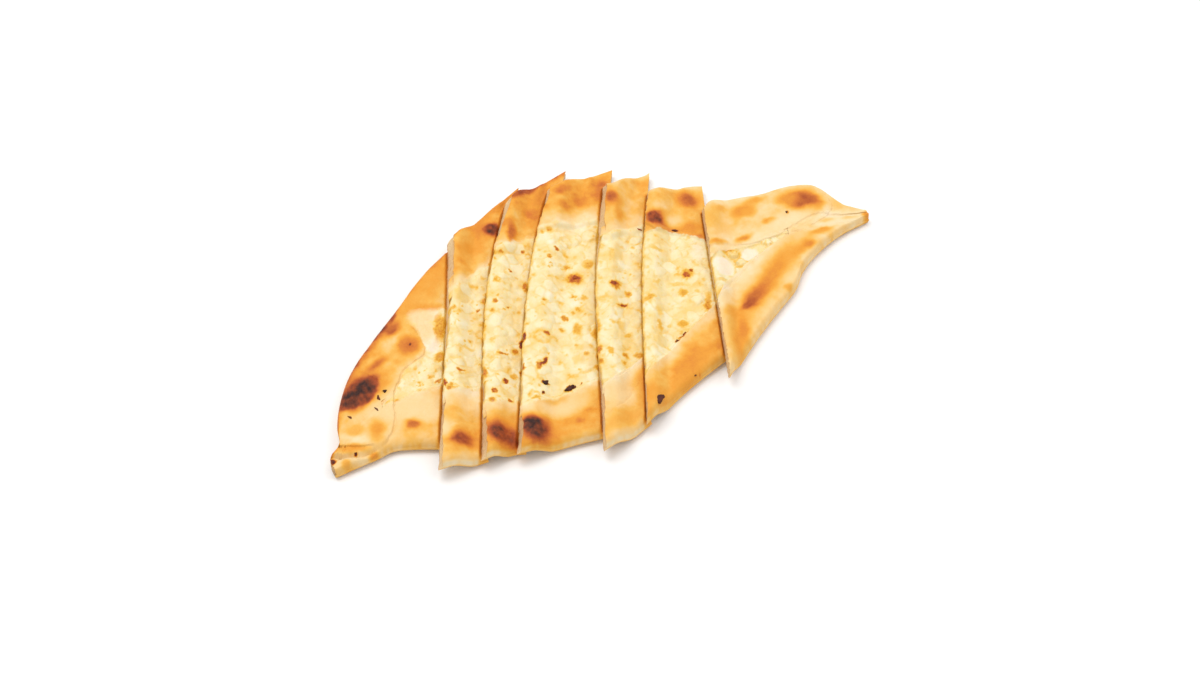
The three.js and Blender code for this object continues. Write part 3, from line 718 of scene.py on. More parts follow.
def crust_browning_and_shade(name, cut, place):
    """The border's browning from rim to inner edge, with clouds, then the marks, and last a
    painted shade in the crevice beside the next slice.
    """
    low, high = cheese_span(cut, place["s"])
    upper = ease((place["t"] - (low + high) / 2) * place["length"], -6, 6)
    rim, broad, inner = (mix(a, b, upper) for a, b in zip(cut["brown_low"], cut["brown_high"]))
    to_fold = np.maximum(place["t"] - high, low - place["t"]) * place["length"]
    x, y = place["x"], place["y"]
    inward = ease(to_fold + 4 * clouds(x, y, 18, 51, 2), INNER_BAND, -1)
    ground = mix(broad, inner, inward)
    ground = mix(rim, ground, ease(place["edge"], 1, mix(USUAL["rim_run"], cut["rim_run"], upper)))
    lip = mix(*cut["lip"], upper) + 0.12 * hills(x, y, 3, 55)
    ground = mix(lip, ground, ease(place["edge"], 0, LIP_BAND))
    ground = ground + 0.12 * clouds(x, y, 15, 52, 3) + 0.06 * clouds(x, y, 5, 53, 3)
    ground = marked(ground, x, y, CRUST_MARKS[name], 54)
    ground = ground + 0.07 * ease(ground, 0.76, 0.9) * clouds(x, y, 4, 57, 3)
    # Painted shade: the crevice along the edge of the slice on top is darkened.
    crevice_shade = 1 - ease(place["outside"] + 0.6 * hills(x, y, 4, 56), 0.2, 2.5)
    return np.clip(mix(ground, np.maximum(ground, CREVICE_SHADE_LEVEL), 0.72 * crevice_shade), 0, 1)


browning = crust_browning_and_shade("slice_4", SLICES["slice_4"], middle)
print("browning in the middle of slice 4: %.2f" % browning)

# %% [markdown]
# ## Heights of the dough
#
# From outside to inside a border is a blunt rounded nose, a crest and a slow fall to the
# folded edge. The broad waves are those of the solids. Finer clouds and the swellings are
# added on top of them: they are low, and the light that rakes over them is what makes
# dough look like dough. A material could fake them with a bump, but then the outline of
# the bread would stay smooth.

# %% Relief of the dough
# For each wave: turns along x, turns along y, phase, share of the height.
WAVES = [(1, 0.3, 0, 0.45), (-0.5, 1.1, 1.3, 0.35), (1.9, -1.6, 0.4, 0.2)]


def waves(x, y, length):
    """The sum of three slanting sine waves that never quite repeat together."""
    turns = 2 * np.pi / length
    return sum(share * np.sin(turns * (a * x + b * y) + phase) for a, b, phase, share in WAVES)


def crust_relief(name, x, y):
    """Waves, clouds from 16 mm down to 1 mm, crusts on the larger burnt marks, the slice's
    swellings, each a bell, and its folds."""
    height = 0.45 * waves(x, y, 21) + 0.34 * clouds(x, y, 16, 31, 2)
    height = height + 0.13 * clouds(x, y, 4, 32, 2) + 0.05 * clouds(x, y, 1.4, 33, 1)
    for mark in CRUST_MARKS[name]:
        if mark[5] > CHARRED and mark[3] > 2:
            inside = 1 - ease(oval(x, y, mark), 0.5, 1.1)
            height = height + 0.3 * clouds(x, y, 2, 34, 2) * inside
    for mark in SWELLINGS[name]:
        height = height + mark[5] * np.exp(-oval(x, y, mark) ** 2 * 1.5)
    for fold in FOLDS[name]:
        height = height + fold_height(fold, x, y)
    return height


relief = crust_relief("slice_4", grid_x, grid_y)
print("the relief runs from %.1f to %.1f mm" % (relief.min(), relief.max()))

# %% [markdown]
# ## Margins and underside
#
# A knife presses the dough down beside a cut, and the next slice flattens the margin that
# it lies on. The underside took the form of the oven floor, and its outer edges curled up
# a little. All this acts on whatever the relief has made, so it is worked in last.

# %% Border, margins and underside
def with_margins(height, place):
    """The knife presses both cut edges down, and the next slice presses the right margin."""
    knife = 1 - ease(place["cut_edge"], 0, KNIFE_ROUND)
    return mix(height - KNIFE_DROP * knife, np.minimum(height, PRESSED), place["press"])


def nose_rise(place):
    """Quarter circle from 0 at the outer edge to 1 where the nose's rounding ends."""
    inside = np.clip(place["edge"] / NOSE_ROUND, 0, 1)
    return np.sqrt(1 - (1 - inside) ** 2)


def border_height(name, place):
    """Nose, crest and fall with the relief, lowered in a tip, with the margins worked in."""
    fall = ease(place["edge"], CREST_AT, FALL_TO)
    body = mix(CREST, FLAP, fall) + crust_relief(name, place["x"], place["y"])
    top = mix(NOSE_TOP, body, nose_rise(place)) * mix(TIP_HEIGHT, 1, place["scale"])
    return place["lift"] + with_margins(top, place)


def foot_height(place):
    """The underside: lifted at the left margin, curled up at the outer edges, and dimpled
    by the oven floor."""
    dimples = 0.25 * np.abs(hills(place["x"], place["y"], 7, 41))
    return place["lift"] + NOSE_FOOT * (1 - nose_rise(place)) + dimples


edge_place = feel(SLICES["slice_4"], np.array(0.5), np.array(0.01), 0)
print("the nose of slice 4 stands %.1f mm high" % border_height("slice_4", edge_place))

# %% [markdown]
# ## From grids to a closed piece
#
# A slice has a skin all round, so that light and shadow are right from every side. It is a
# top grid and a bottom grid of the same size, joined round the rim by a band of rings. A
# Solidify modifier could give the thickness, but not the flat underside. The rim is walked
# with the inside on the left, which makes every face of the band look outwards.

# %% Round the rim and over the squares of a grid
def rim_walk(columns, rows):
    """Numbers of the grid's outer points, once round with the inside on the left."""
    n = np.arange(columns * rows).reshape(columns, rows)
    return np.concatenate([n[:-1, 0], n[-1, :-1], n[:0:-1, -1], n[0, :0:-1]])


def grid_faces(columns, rows, start, upwards):
    """Four corner numbers for each square of a grid, turning left seen from outside."""
    n = start + np.arange(columns * rows).reshape(columns, rows)
    a, b, c, d = n[:-1, :-1], n[1:, :-1], n[1:, 1:], n[:-1, 1:]
    corners = (a, b, c, d) if upwards else (a, d, c, b)
    return np.stack([q.ravel() for q in corners], 1)


print("a 3 by 3 grid has", len(rim_walk(3, 3)), "points round its rim")

# %% [markdown]
# ## The band round the rim
#
# The band is the outer edge of the bread on two sides and a cut face on the other two. So
# its rings can be pushed out into a soft bulge, or in for the pores of the crumb.

# %% Rings between two rims
def rim_band(over, under, shares, push, on_cut_face):
    """The points of each ring: the mix of both rims by its share of the height, then moved
    outwards by what push says. Outwards is the way along the rim turned to the right."""
    walk = (np.roll(over, -1, 0) - np.roll(over, 1, 0))[:, :2]
    walk = walk / np.maximum(np.linalg.norm(walk, axis=1, keepdims=True), 1e-9)
    bands = []
    for share in shares:
        band = mix(under, over, share)
        out = push(share, band, on_cut_face)
        band[:, 0] += walk[:, 1] * out
        band[:, 1] -= walk[:, 0] * out
        bands.append(band)
    return bands


def wall_faces(count, rim, rings):
    """Four corner numbers for each square of the band. The lowest row is the rim of the
    bottom grid, the highest that of the top grid, and the rings' own points lie between."""
    own = [2 * count + k * len(rim) + np.arange(len(rim)) for k in range(rings - 1)]
    here = np.vstack([count + rim, *own, rim])
    there = np.roll(here, -1, 1)
    return np.stack([here[:-1], there[:-1], there[1:], here[1:]], 2).reshape(-1, 4)


print("with 2 rings its band has", len(wall_faces(9, rim_walk(3, 3), 2)), "squares")

# %% [markdown]
# ## A mesh from whole arrays
#
# A slice has tens of thousands of points. Adding them one by one in a loop would be slow,
# while `foreach_set` copies a whole array into the mesh at once. Numbers such as the
# browning are kept as point values, which the materials read.

# %% A mesh and its point values
def put_in_scene(name, data):
    """A new object that holds the data, linked into the scene."""
    holder = bpy.data.objects.new(name, data)
    bpy.context.scene.collection.objects.link(holder)
    return holder


def new_mesh(name, points, faces, finish):
    """A smooth mesh of four-cornered faces. The points are in millimetres round the middle
    of the plan, and finish is the number of each face's material."""
    mesh = bpy.data.meshes.new(name)
    mesh.vertices.add(len(points))
    points = (points - [0, PLAN_MIDDLE, 0]) * MM
    mesh.vertices.foreach_set("co", points.astype(np.float32).ravel())
    mesh.loops.add(faces.size)
    mesh.loops.foreach_set("vertex_index", faces.astype(np.int32).ravel())
    mesh.polygons.add(len(faces))
    mesh.polygons.foreach_set("loop_start", np.arange(0, faces.size, 4, dtype=np.int32))
    mesh.polygons.foreach_set("material_index", finish.astype(np.int32))
    mesh.polygons.foreach_set("use_smooth", np.ones(len(faces), bool))
    mesh.update(calc_edges=True)
    return mesh


def keep_value(mesh, key, numbers):
    """One number for each point of the mesh, under a name that materials can read."""
    numbers = np.array(numbers, np.float32)
    mesh.attributes.new(key, "FLOAT", "POINT").data.foreach_set("value", numbers)


print("in the mesh, 1 mm is", MM, "m")

# %% [markdown]
# ## One closed mesh
#
# Top, bottom and band become one mesh, so that no light leaks in at a seam. The faces on
# the cuts get the last of the piece's materials. A knife leaves sharp edges, and smooth
# shading would round them off, so strongly bent edges are drawn sharp.

# %% One closed mesh from two grids
SHARP = np.radians(48)  # edges bent by more than this are drawn sharp


def closed_piece(name, top, bottom, rings, push, materials, values):
    """Top grid, bottom grid and a band of rings between their rims. push gives how far each
    point of the band goes outwards, from the share of its height, its place and whether it
    is on a cut. values are point values, each (on top, on bottom, power): between them the
    value on top counts by the share of the height to that power."""
    columns, rows = top.shape[:2]
    rim = rim_walk(columns, rows)
    i, j = rim // rows, rim % rows
    on_cut_face = (i == 0) | (i == columns - 1)
    is_corner = on_cut_face & ((j == 0) | (j == rows - 1))
    top, bottom, shares = top.reshape(-1, 3), bottom.reshape(-1, 3), np.arange(1, rings) / rings
    bands = rim_band(top[rim], bottom[rim], shares, push, on_cut_face & ~is_corner)

    upper = grid_faces(columns, rows, 0, True)
    lower = grid_faces(columns, rows, len(top), False)
    wall = wall_faces(len(top), rim, rings)
    cut_wall = np.tile(on_cut_face & np.roll(on_cut_face, -1), rings)
    plain = np.zeros(len(upper) + len(lower), int)
    finish = np.concatenate([plain, np.where(cut_wall, len(materials) - 1, 0)])
    mesh = new_mesh(name, np.vstack([top, bottom, *bands]), np.vstack([upper, lower, wall]), finish)
    for key, (on_top, on_bottom, power) in values.items():
        on_top, on_bottom = on_top.ravel(), on_bottom.ravel()
        steps = [mix(on_bottom[rim], on_top[rim], share**power) for share in shares]
        keep_value(mesh, key, np.concatenate([on_top, on_bottom, *steps]))
    for material in materials:
        mesh.materials.append(material)
    mesh.set_sharp_from_angle(angle=SHARP)
    piece = put_in_scene(name, mesh)
    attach(piece, "root")
    return piece


print("edges are sharp from", round(float(np.degrees(SHARP))), "degrees on")

# %% [markdown]
# ## Colours
#
# The browning number becomes a colour through a ramp whose stops are the colours of the
# baked dough, from raw to burnt. They are written as they look on a screen and turned
# into the linear light that the renderer works in. The whole bread is lit brightly, so
# every colour is first taken down by one share.

# %% Colours and ramps
LIGHT_SHARE = 0.8
WHITE = (1, 1, 1, 1)


def paint(code):
    """Linear colour of a six-figure screen colour: each part to the power 2.2, times the
    share, and opaque."""
    parts = [int(code[k : k + 2], 16) / 255 for k in (0, 2, 4)]
    return (*[LIGHT_SHARE * p**2.2 for p in parts], 1)


def new_material(name):
    """An empty node material with its shader and the tree to build in."""
    material = bpy.data.materials.new(name)
    material.use_nodes = True
    return material, material.node_tree, material.node_tree.nodes["Principled BSDF"]


def add(tree, kind, inputs=(), **settings):
    """A node of that kind; inputs are (socket, value or output to join)."""
    node = tree.nodes.new("ShaderNode" + kind)
    for key, value in settings.items():
        setattr(node, key, value)
    for socket, value in inputs:
        if isinstance(value, bpy.types.NodeSocket):
            tree.links.new(value, node.inputs[socket])
        else:
            node.inputs[socket].default_value = value
    return node


def ramp(tree, factor, stops):
    """A colour ramp with the stops (place, screen colour or linear parts)."""
    node = add(tree, "ValToRGB", [("Fac", factor)])
    elements = node.color_ramp.elements
    stops = [(place, paint(c) if isinstance(c, str) else c) for place, c in stops]
    elements[0].position, elements[0].color = stops[0]
    elements[1].position, elements[1].color = stops[-1]
    for place, colour in stops[1:-1]:
        elements.new(place).color = colour
    return node.outputs["Color"]


print("raw dough is", [round(p, 2) for p in paint("FDE6C9")])

# %% [markdown]
# ## Small steps of a material
#
# Every finish of the bread is put together from the same few steps: read a point value,
# take speckles of some size, add or multiply them, mix two colours. Joined by hand in the
# node editor they would be a wall of boxes, so each step is a function.

# %% Speckles, sums and mixes
def point_value(tree, key):
    """The number that the points of the mesh carry under that name."""
    return add(tree, "Attribute", attribute_name=key).outputs["Fac"]


def speckle(tree, size, detail=3, rough=0.6):
    """Noise about size millimetres wide on the piece's own coordinates, from 0 to 1."""
    place = add(tree, "TexCoord").outputs["Object"]
    settings = [("Vector", place), ("Scale", 1000 / size), ("Detail", detail), ("Roughness", rough)]
    return add(tree, "TexNoise", settings).outputs["Fac"]


def worked_out(tree, operation, *values):
    """The result of one sum on the values. MULTIPLY_ADD is first times second plus third."""
    return add(tree, "Math", enumerate(values), operation=operation).outputs[0]


def sums(tree, start, *terms):
    """start plus each (value, weight) with the value counted from its middle, 0.5."""
    total = start
    for value, weight in terms:
        centred = worked_out(tree, "MULTIPLY_ADD", value, weight, -0.5 * weight)
        total = worked_out(tree, "ADD", total, centred)
    return total


def rescaled(tree, value, low, high, to_low=0, to_high=1):
    """The value moved from the range low to high into the range to_low to to_high."""
    keys = ("Value", "From Min", "From Max", "To Min", "To Max")
    inputs = zip(keys, (value, low, high, to_low, to_high))
    return add(tree, "MapRange", inputs).outputs[0]


def blend(tree, share, under, over, kind="MIX"):
    """Two colours mixed by the share, or over laid on under in the way that kind says."""
    inputs = [("Factor", share), (6, under), (7, over)]
    return add(tree, "Mix", inputs, data_type="RGBA", blend_type=kind).outputs[2]


def bumps(tree, shader, height, distance):
    """Small relief that only bends the light."""
    node = add(tree, "Bump", [("Height", height), ("Strength", 1), ("Distance", distance)])
    tree.links.new(node.outputs["Normal"], shader.inputs["Normal"])


def surface(tree, shader, colour, roughness, shine):
    """The colour joined to the shader, how rough it is and how much it shines."""
    tree.links.new(colour, shader.inputs["Base Color"])
    shader.inputs["Roughness"].default_value = roughness
    shader.inputs["Specular IOR Level"].default_value = shine


print("speckles of 2 mm have the scale", 1000 / 2)

# %% [markdown]
# ## Crust
#
# Baked dough is matt, with a dry skin that is a little smoother where it is brown, though
# here one roughness serves for all of it. A picture of crust could be laid on it, but then
# no spot would be where this bread has it.
# The browning comes from the points of the mesh, and speckles finer than the mesh are
# added in the material.

# %% The crust
def crust_colour(tree, browning):
    """Colour of dough at a browning, with speckles, and coarser ones where it is charred."""
    charred = rescaled(tree, browning, 0.72, 0.95)
    flakes = worked_out(tree, "MULTIPLY", charred, speckle(tree, 2.8, 5, 0.65))
    fine = [(speckle(tree, size), weight) for size, weight in ((6, 0.1), (1.4, 0.08), (0.45, 0.05))]
    level = sums(tree, browning, *fine)
    level = worked_out(tree, "MULTIPLY_ADD", flakes, -0.15, level)
    level = worked_out(tree, "MULTIPLY_ADD", charred, 0.1, level)
    return ramp(tree, level, [
        (0.0, "FCE6C4"), (0.16, "FBDFAA"), (0.32, "FCD08A"), (0.48, "F8BB56"), (0.62, "F1A034"),
        (0.74, "DA7B2B"), (0.84, "A84B1E"), (0.93, "6E341B"), (1.0, "3C2019"),
    ])


crust, tree, shader = new_material("crust")
surface(tree, shader, crust_colour(tree, point_value(tree, "browning")), 0.62, 0.3)
bumps(tree, shader, sums(tree, speckle(tree, 2.2), (speckle(tree, 0.5), 0.5)), 0.00025)
print("crust:", len(tree.nodes), "nodes")

# %% [markdown]
# ## Crumb
#
# A cut opens the dough: pale and pinkish, full of fine pores, with a thin browned skin
# along the top and the bottom of the face. The share of the face's height is a point
# value, so that the skin follows the edge. The pores are too fine for the mesh, so they
# are darker spots in the colour and a bump.

# %% The crumb of the cut faces
crumb, tree, shader = new_material("crumb")
share = sums(tree, point_value(tree, "rise"), (speckle(tree, 1.5), 0.12))
skin = ramp(tree, share, [
    (0.0, "D4954E"), (0.06, "F0C48C"), (0.18, "FAD9A6"),
    (0.82, "F7CF98"), (0.94, "F0BC78"), (1.0, "DC9A52"),
])
pore = (0.5, 0.3, 0.18, 1)
pores = ramp(tree, speckle(tree, 1.6, 4, 0.7), [(0.32, pore), (0.47, WHITE), (1.0, WHITE)])
surface(tree, shader, blend(tree, 0.55, skin, pores, "MULTIPLY"), 0.8, 0.2)
bumps(tree, shader, speckle(tree, 0.9, 4, 0.7), 0.0005)
print("crumb:", len(tree.nodes), "nodes")

# %% [markdown]
# ## Rows of the dough
#
# The folded edge is the sharpest form of the bread: the border ends there in a step down
# to the bed. An even grid would cut it into teeth. So the rows of the top grid follow the
# folded edges, and stand closer together on the rounded nose. The bed itself is under the
# cheese and needs few rows.

# %% Rows that follow the folds
DOUGH_SPACING, TIP_SPACING = 0.6, 0.78  # the tips are the largest slices
NOSE_ROWS, STEP_ROWS, BED_ROWS = 9, 4, 26


def stretch(a, b, count, last=False):
    """Rows evenly spaced from a to b, for every column at once."""
    return mix(a, b, np.linspace(0, 1, count, endpoint=last)[None, :])


def dough_rows(cut, s, spacing):
    """Shares of the length at which the rows stand for each column of s, and how much each
    is on the bed: nose, border, step, bed, step, border, nose."""
    length = slice_length(cut, s)
    scale = tip_scale(cut, length)
    low, high = cheese_span(cut, s)
    wobble = 0.9 * clouds(s * 40, s * 0 + length, 7, 61, 2) / length * scale
    low, high = low + wobble, high + 0.7 * wobble
    step, nose = FLAP_STEP * scale / length, NOSE_ROUND * scale / length
    lower_rows = int(np.max((low - nose) * length) / spacing)
    upper_rows = int(np.max((1 - high - nose) * length) / spacing)
    rising = 1 - np.cos(np.linspace(0, np.pi / 2, NOSE_ROWS, endpoint=False))[None, :]
    falling = 1 - np.sin(np.linspace(0, np.pi / 2, NOSE_ROWS + 1))[None, :]
    parts = [
        (nose * rising, 0, 0),
        (stretch(nose, low - step, lower_rows), 0, 0),
        (stretch(low - step, low, STEP_ROWS), 0, 1),
        (stretch(low, high, BED_ROWS), 1, 1),
        (stretch(high, high + step, STEP_ROWS), 1, 0),
        (stretch(high + step, 1 - nose, upper_rows), 0, 0),
        (1 - nose * falling, 0, 0),
    ]
    on_bed = [np.linspace(a, b, rows.shape[1], endpoint=False) for rows, a, b in parts]
    t = np.concatenate([rows for rows, *_ in parts], 1)
    return t, np.concatenate(on_bed)[None, :] + 0 * s


rows, _ = dough_rows(SLICES["slice_4"], np.array([[0.0], [1.0]]), DOUGH_SPACING)
print("slice 4 has", rows.shape[1], "rows")

# %% [markdown]
# ## The dough of each slice
#
# The oven floor leaves the underside pale with brown freckles, and the cut faces show
# crumb. Seven slices modelled one by one would never quite match. Here one function makes
# both grids of any slice, another says how the band between them bulges, and a loop
# builds all seven.

# %% Bake the dough
DOUGH_RINGS = 9


def stacked(place, height):
    """One grid of points from a grid of places and one of heights."""
    return np.stack([place["x"], place["y"], height], 2)


def freckled_foot(under):
    """Browning of the underside: clouds, the higher ones of a finer kind on top, and an even
    light brown near the outer edge."""
    x, y = under["x"], under["y"]
    spots = ease(clouds(x, y, 6, 63, 2), 0.35, 0.8)
    inside = np.clip(0.2 + 0.16 * clouds(x, y, 11, 62, 3) + 0.5 * spots, 0, 0.9)
    return mix(0.46 + 0.1 * clouds(x, y, 9, 66, 2), inside, ease(under["edge"], 1, 7))


def dough_grids(name, cut, spacing):
    """Top and bottom grids of the dough, and the browning of both."""
    s = np.linspace(0, 1, int(widest(cut) / spacing))[:, None]
    t, on_bed = dough_rows(cut, s, spacing)
    s = s + 0 * t
    place = feel(cut, s, t, mix(CREST, BED, on_bed))
    top = border_height(name, place)
    begin, end = cut["tray"]
    floor = np.where((s >= begin) & (s <= end), place["lift"] + BED, top - cut["seam"])
    z = mix(top, np.minimum(floor, top), on_bed)
    under = feel(cut, s, t, 0)
    browning = crust_browning_and_shade(name, cut, place)
    return stacked(place, z), stacked(under, foot_height(under)), browning, freckled_foot(under)


def dough_push(share, band, on_cut_face):
    """Outer edges bulge by up to 0.7 mm; cut faces are pitted by up to 0.4 mm."""
    walk, height = band[:, 0] + band[:, 1], 3 * band[:, 2]
    pits = -0.4 * np.abs(hills(walk, height, 1.6, 64)) - 0.2 * np.abs(hills(walk, height, 0.8, 65))
    return np.where(on_cut_face, pits, 0.7 * np.sin(np.pi * share))


grids = {}
for name, cut in SLICES.items():
    spacing = TIP_SPACING if is_tip(cut) else DOUGH_SPACING
    top, bottom, browning, freckles = dough_grids(name, cut, spacing)
    grids[name] = [top]
    rise = np.ones(browning.shape), np.zeros(browning.shape), 1
    values = {"browning": (browning, freckles, 1.5), "rise": rise}
    piece = closed_piece(name + "_baked_dough", top, bottom, DOUGH_RINGS, dough_push,
                         [crust, crumb], values)
    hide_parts(name + "_dough")
    print(piece.name, len(piece.data.polygons), "faces")

# %% [markdown]
# ## Heights of the cheese
#
# The cheese is one sheet from cut to cut. It is lumpy where curds kept their shape, and
# smooth where it flowed. A fluid simulation could melt it, but it would never come to rest
# as this one did. Two sizes of lumps give the common curds, and a table the large ones.

# %% Curds and bare places
# Middle x and y, radius, height: curds large enough to stand out.
LARGE_CURDS = [
    (20, 82, 7.5, 1.6), (31, 78, 6, 1.5), (100.5, 16.5, 4.6, 2.2), (101, 8, 4, 2), (96, 3.4, 3, 1.4),
    (125, 13.9, 3.6, 1.4), (79, -3, 5, 0.9), (60, -2, 7, 1.1), (-100, 34, 6, 1.4), (-58, 88, 8, 1),
    (-108, 36, 6, 1.2), (12, 79, 4, 0.8), (54, 12, 8, 0.7), (-32, 44, 12, 0.7),
]
# Middle x and y, half length, half width, turn in degrees, strength, blur: places where
# the dough shows through.
BARE = [
    (22, 94, 19, 8.5, -32, 0.35, 0.4), (-93, 76.8, 11.5, 6.4, -25, 1, 0.12),
    (-98, 60, 14, 6, 80, 1, 0.15), (88, 9, 6.5, 8, -32, 1, 0.15), (110, 11, 5.5, 5, 0, 1, 0.2),
    (83, 31, 4, 7, -32, 0.5, 0.3),
]


def curds(x, y):
    """Lumps about 8 mm wide, their round outlines warped by hills."""
    return lumps(x + 1.5 * hills(x, y, 6, 81), y + 1.5 * hills(x, y, 6, 82), 8, 83)


def cheese_relief(x, y, bare):
    """Waves, clouds and two sizes of lumps, each a dome with valleys between, and the large
    curds. The lumps fade where the cheese flowed smooth and where the dough is bare."""
    nearest, second, _ = curds(x, y)
    fine_x, fine_y = x + 0.6 * hills(x, y, 3, 84), y + 0.6 * hills(x, y, 3, 85)
    small, small_second, _ = lumps(fine_x, fine_y, 3.2, 86)
    flowed = ease(clouds(x, y, 22, 87, 2), 0.15, 0.5)
    rough = (1 - 0.75 * flowed) * (1 - bare)
    height = 0.25 * waves(x, y, 11) + 0.2 * clouds(x, y, 8, 88, 2)
    height = height + rough * (0.35 * (ease(second - nearest, 0, 0.5) - 0.6) - 0.3 * nearest)
    height = height + rough * 0.1 * (ease(small_second - small, 0, 0.7) - 0.5)
    height = height + 0.03 * clouds(x, y, 1.3, 89, 2)
    for cx, cy, radius, rise in LARGE_CURDS:
        away = np.hypot(x - cx + 0.7 * hills(x, y, 3, 90), y - cy + 0.7 * hills(x, y, 3, 91)) / radius
        height = height + rise * (1 - ease(away, 0.45, 1.0))
    return height * (1 - 0.75 * bare) - 0.5 * bare


lumpy = cheese_relief(grid_x, grid_y, 0 * grid_x)
print("the cheese rises and sinks from %.1f to %.1f mm" % (lumpy.min(), lumpy.max()))

# %% [markdown]
# ## The film over the folds
#
# At both folded edges the cheese has run a little way up over the dough, where it thins
# out and turns to crust, so that its rim is ragged and never a ruled line. The sheet and
# the dough are made to meet there: the sheet climbs to a film just above the dough, and
# past its rim it dives into the dough, out of sight.

# %% Film and rows of the cheese
CHEESE_SPACING = 0.55
REACH = 5  # how far the sheet goes on beyond the longest run of its film
# The first slice's cheese and bare dough end at this line, under a blistered lobe of crust.
LOBE = [
    (-144, 22), (-136, 33), (-130, 37.5), (-126, 42), (-120, 45), (-108, 47.5), (-105, 51),
    (-103.4, 58), (-102.5, 68), (-104, 76), (-101, 83), (-94, 84), (-86, 80), (-78, 77), (-66, 84),
]


def past_film(name, cut, x, y, below, above):
    """How far a place lies outside the film's rim, and the width over which the film turns to
    crust: past the run beyond the nearer fold, and on the first slice past the lobe, where
    the width grows along the lobe. Clouds make the rim ragged."""
    run, _, fade = (np.where(below > above, a, b) for a, b in zip(cut["run_low"], cut["run_high"]))
    past = np.maximum(below, above) - run * (1 + 0.5 * clouds(x, y, 7, 93, 2))
    if name == "slice_1":
        from_lobe, walked = beside(smooth_curve(LOBE, 6), x, y)
        past = np.where(above > below, from_lobe, past)
        fade = np.where(above > below, mix(1.2, 6, ease(walked, 0.45, 0.7)), fade)
    return past + 0.5 * clouds(x, y, 2.5, 94, 2), fade


def sheet_rows(cut, s):
    """Shares of the length at which the rows stand for each column of s, and how far each
    lies beyond the lower and the upper fold. The sheet reaches past the film's rim, but
    never over the rounded nose."""
    low, high = cheese_span(cut, s)
    length = slice_length(cut, s)
    first = low - (cut["run_low"][0] * 1.5 + REACH) / length
    last = high + (cut["run_high"][0] * 1.5 + REACH) / length
    last = np.minimum(last, 1 - NOSE_ROUND / length)
    t = stretch(first, last, int(np.max((last - first) * length) / CHEESE_SPACING), True)
    return t, (low - t) * length, (t - high) * length


rows, *_ = sheet_rows(SLICES["slice_4"], np.array([[0.0], [1.0]]))
print("the sheet of slice 4 has", rows.shape[1], "rows")

# %% [markdown]
# ## The sheet of cheese
#
# Between the folds the sheet lies on the bed, where its underside is never seen, so that
# only has to follow the bed. In a tip the sheet ends inside the slice, where the two folds
# meet. It could be cut off there, but a gap would show. Instead its inner end climbs onto
# the folds and sinks into them.

# %% Grids of the cheese
FILM = 0.45  # thickness of the film where it leaves the fold
DIVE = 2.6, 4.6  # distances beyond the fold between which the film may dive into the dough
THINNEST, BURIED = 0.6, 1.2  # thickness of the sheet at least, and beyond the folds
TIP_SINK = 1.1  # how far the sheet's inner end in a tip is sunk into the groove


def cheese_grids(name, cut):
    """Top and bottom grids of the cheese, and the point values of its top: its place, how
    bare the dough is, and how far the film has turned to crust."""
    begin, end = cut["tray"]
    columns = int(widest(cut) * (end - begin) / CHEESE_SPACING)
    s = np.linspace(begin, end, columns)[:, None]
    t, below, above = sheet_rows(cut, s)
    beyond = np.maximum(below, above)
    place = feel(cut, s + 0 * t, t, mix(CHEESE, CREST, ease(beyond, -2, 1)))
    x, y = place["x"], place["y"]
    bare = np.clip(marked(np.zeros(x.shape), x, y, BARE, 92), 0, 1)
    lumpy = CHEESE + cheese_relief(x, y, bare) * (1 - place["press"])
    sheet = place["lift"] + with_margins(lumpy, place)
    past, fade = past_film(name, cut, x, y, below, above)
    dive = ease(beyond, *DIVE)
    film = border_height(name, place) + FILM * np.clip(-past / 3, -2 * dive, 1) + 0.08 * (1 - dive)
    climb = np.where(below > above, cut["run_low"][1], cut["run_high"][1])
    inner = (s - begin if begin else end - s) * place["width"] if is_tip(cut) else np.inf
    on_fold = np.maximum(ease(beyond, -climb, 0.6), 1 - ease(inner, 0, cut["tip_run"]))
    z = mix(sheet, film, on_fold) - TIP_SINK * (1 - ease(inner, 0, 4))
    under = feel(cut, s + 0 * t, t, BED)
    bottom = np.minimum(under["lift"] + BED + FIT, z - THINNEST)
    bottom = np.where(beyond > 0, z - BURIED, bottom)
    return stacked(place, z), stacked(under, bottom), place, bare, ease(past / fade, -1, 0)


print("the sheet is at least", THINNEST, "mm thick")

# %% [markdown]
# ## Where the cheese browned
#
# Cheese browns in freckles: many tiny ones, some the size of a lentil, often as a ring
# round a bubble that has burst. The marks and rings that stand out have places of their
# own in two tables, because the eye finds them first. The rings on the large curds are
# partly their amber rims and partly painted shade on their sloping sides.

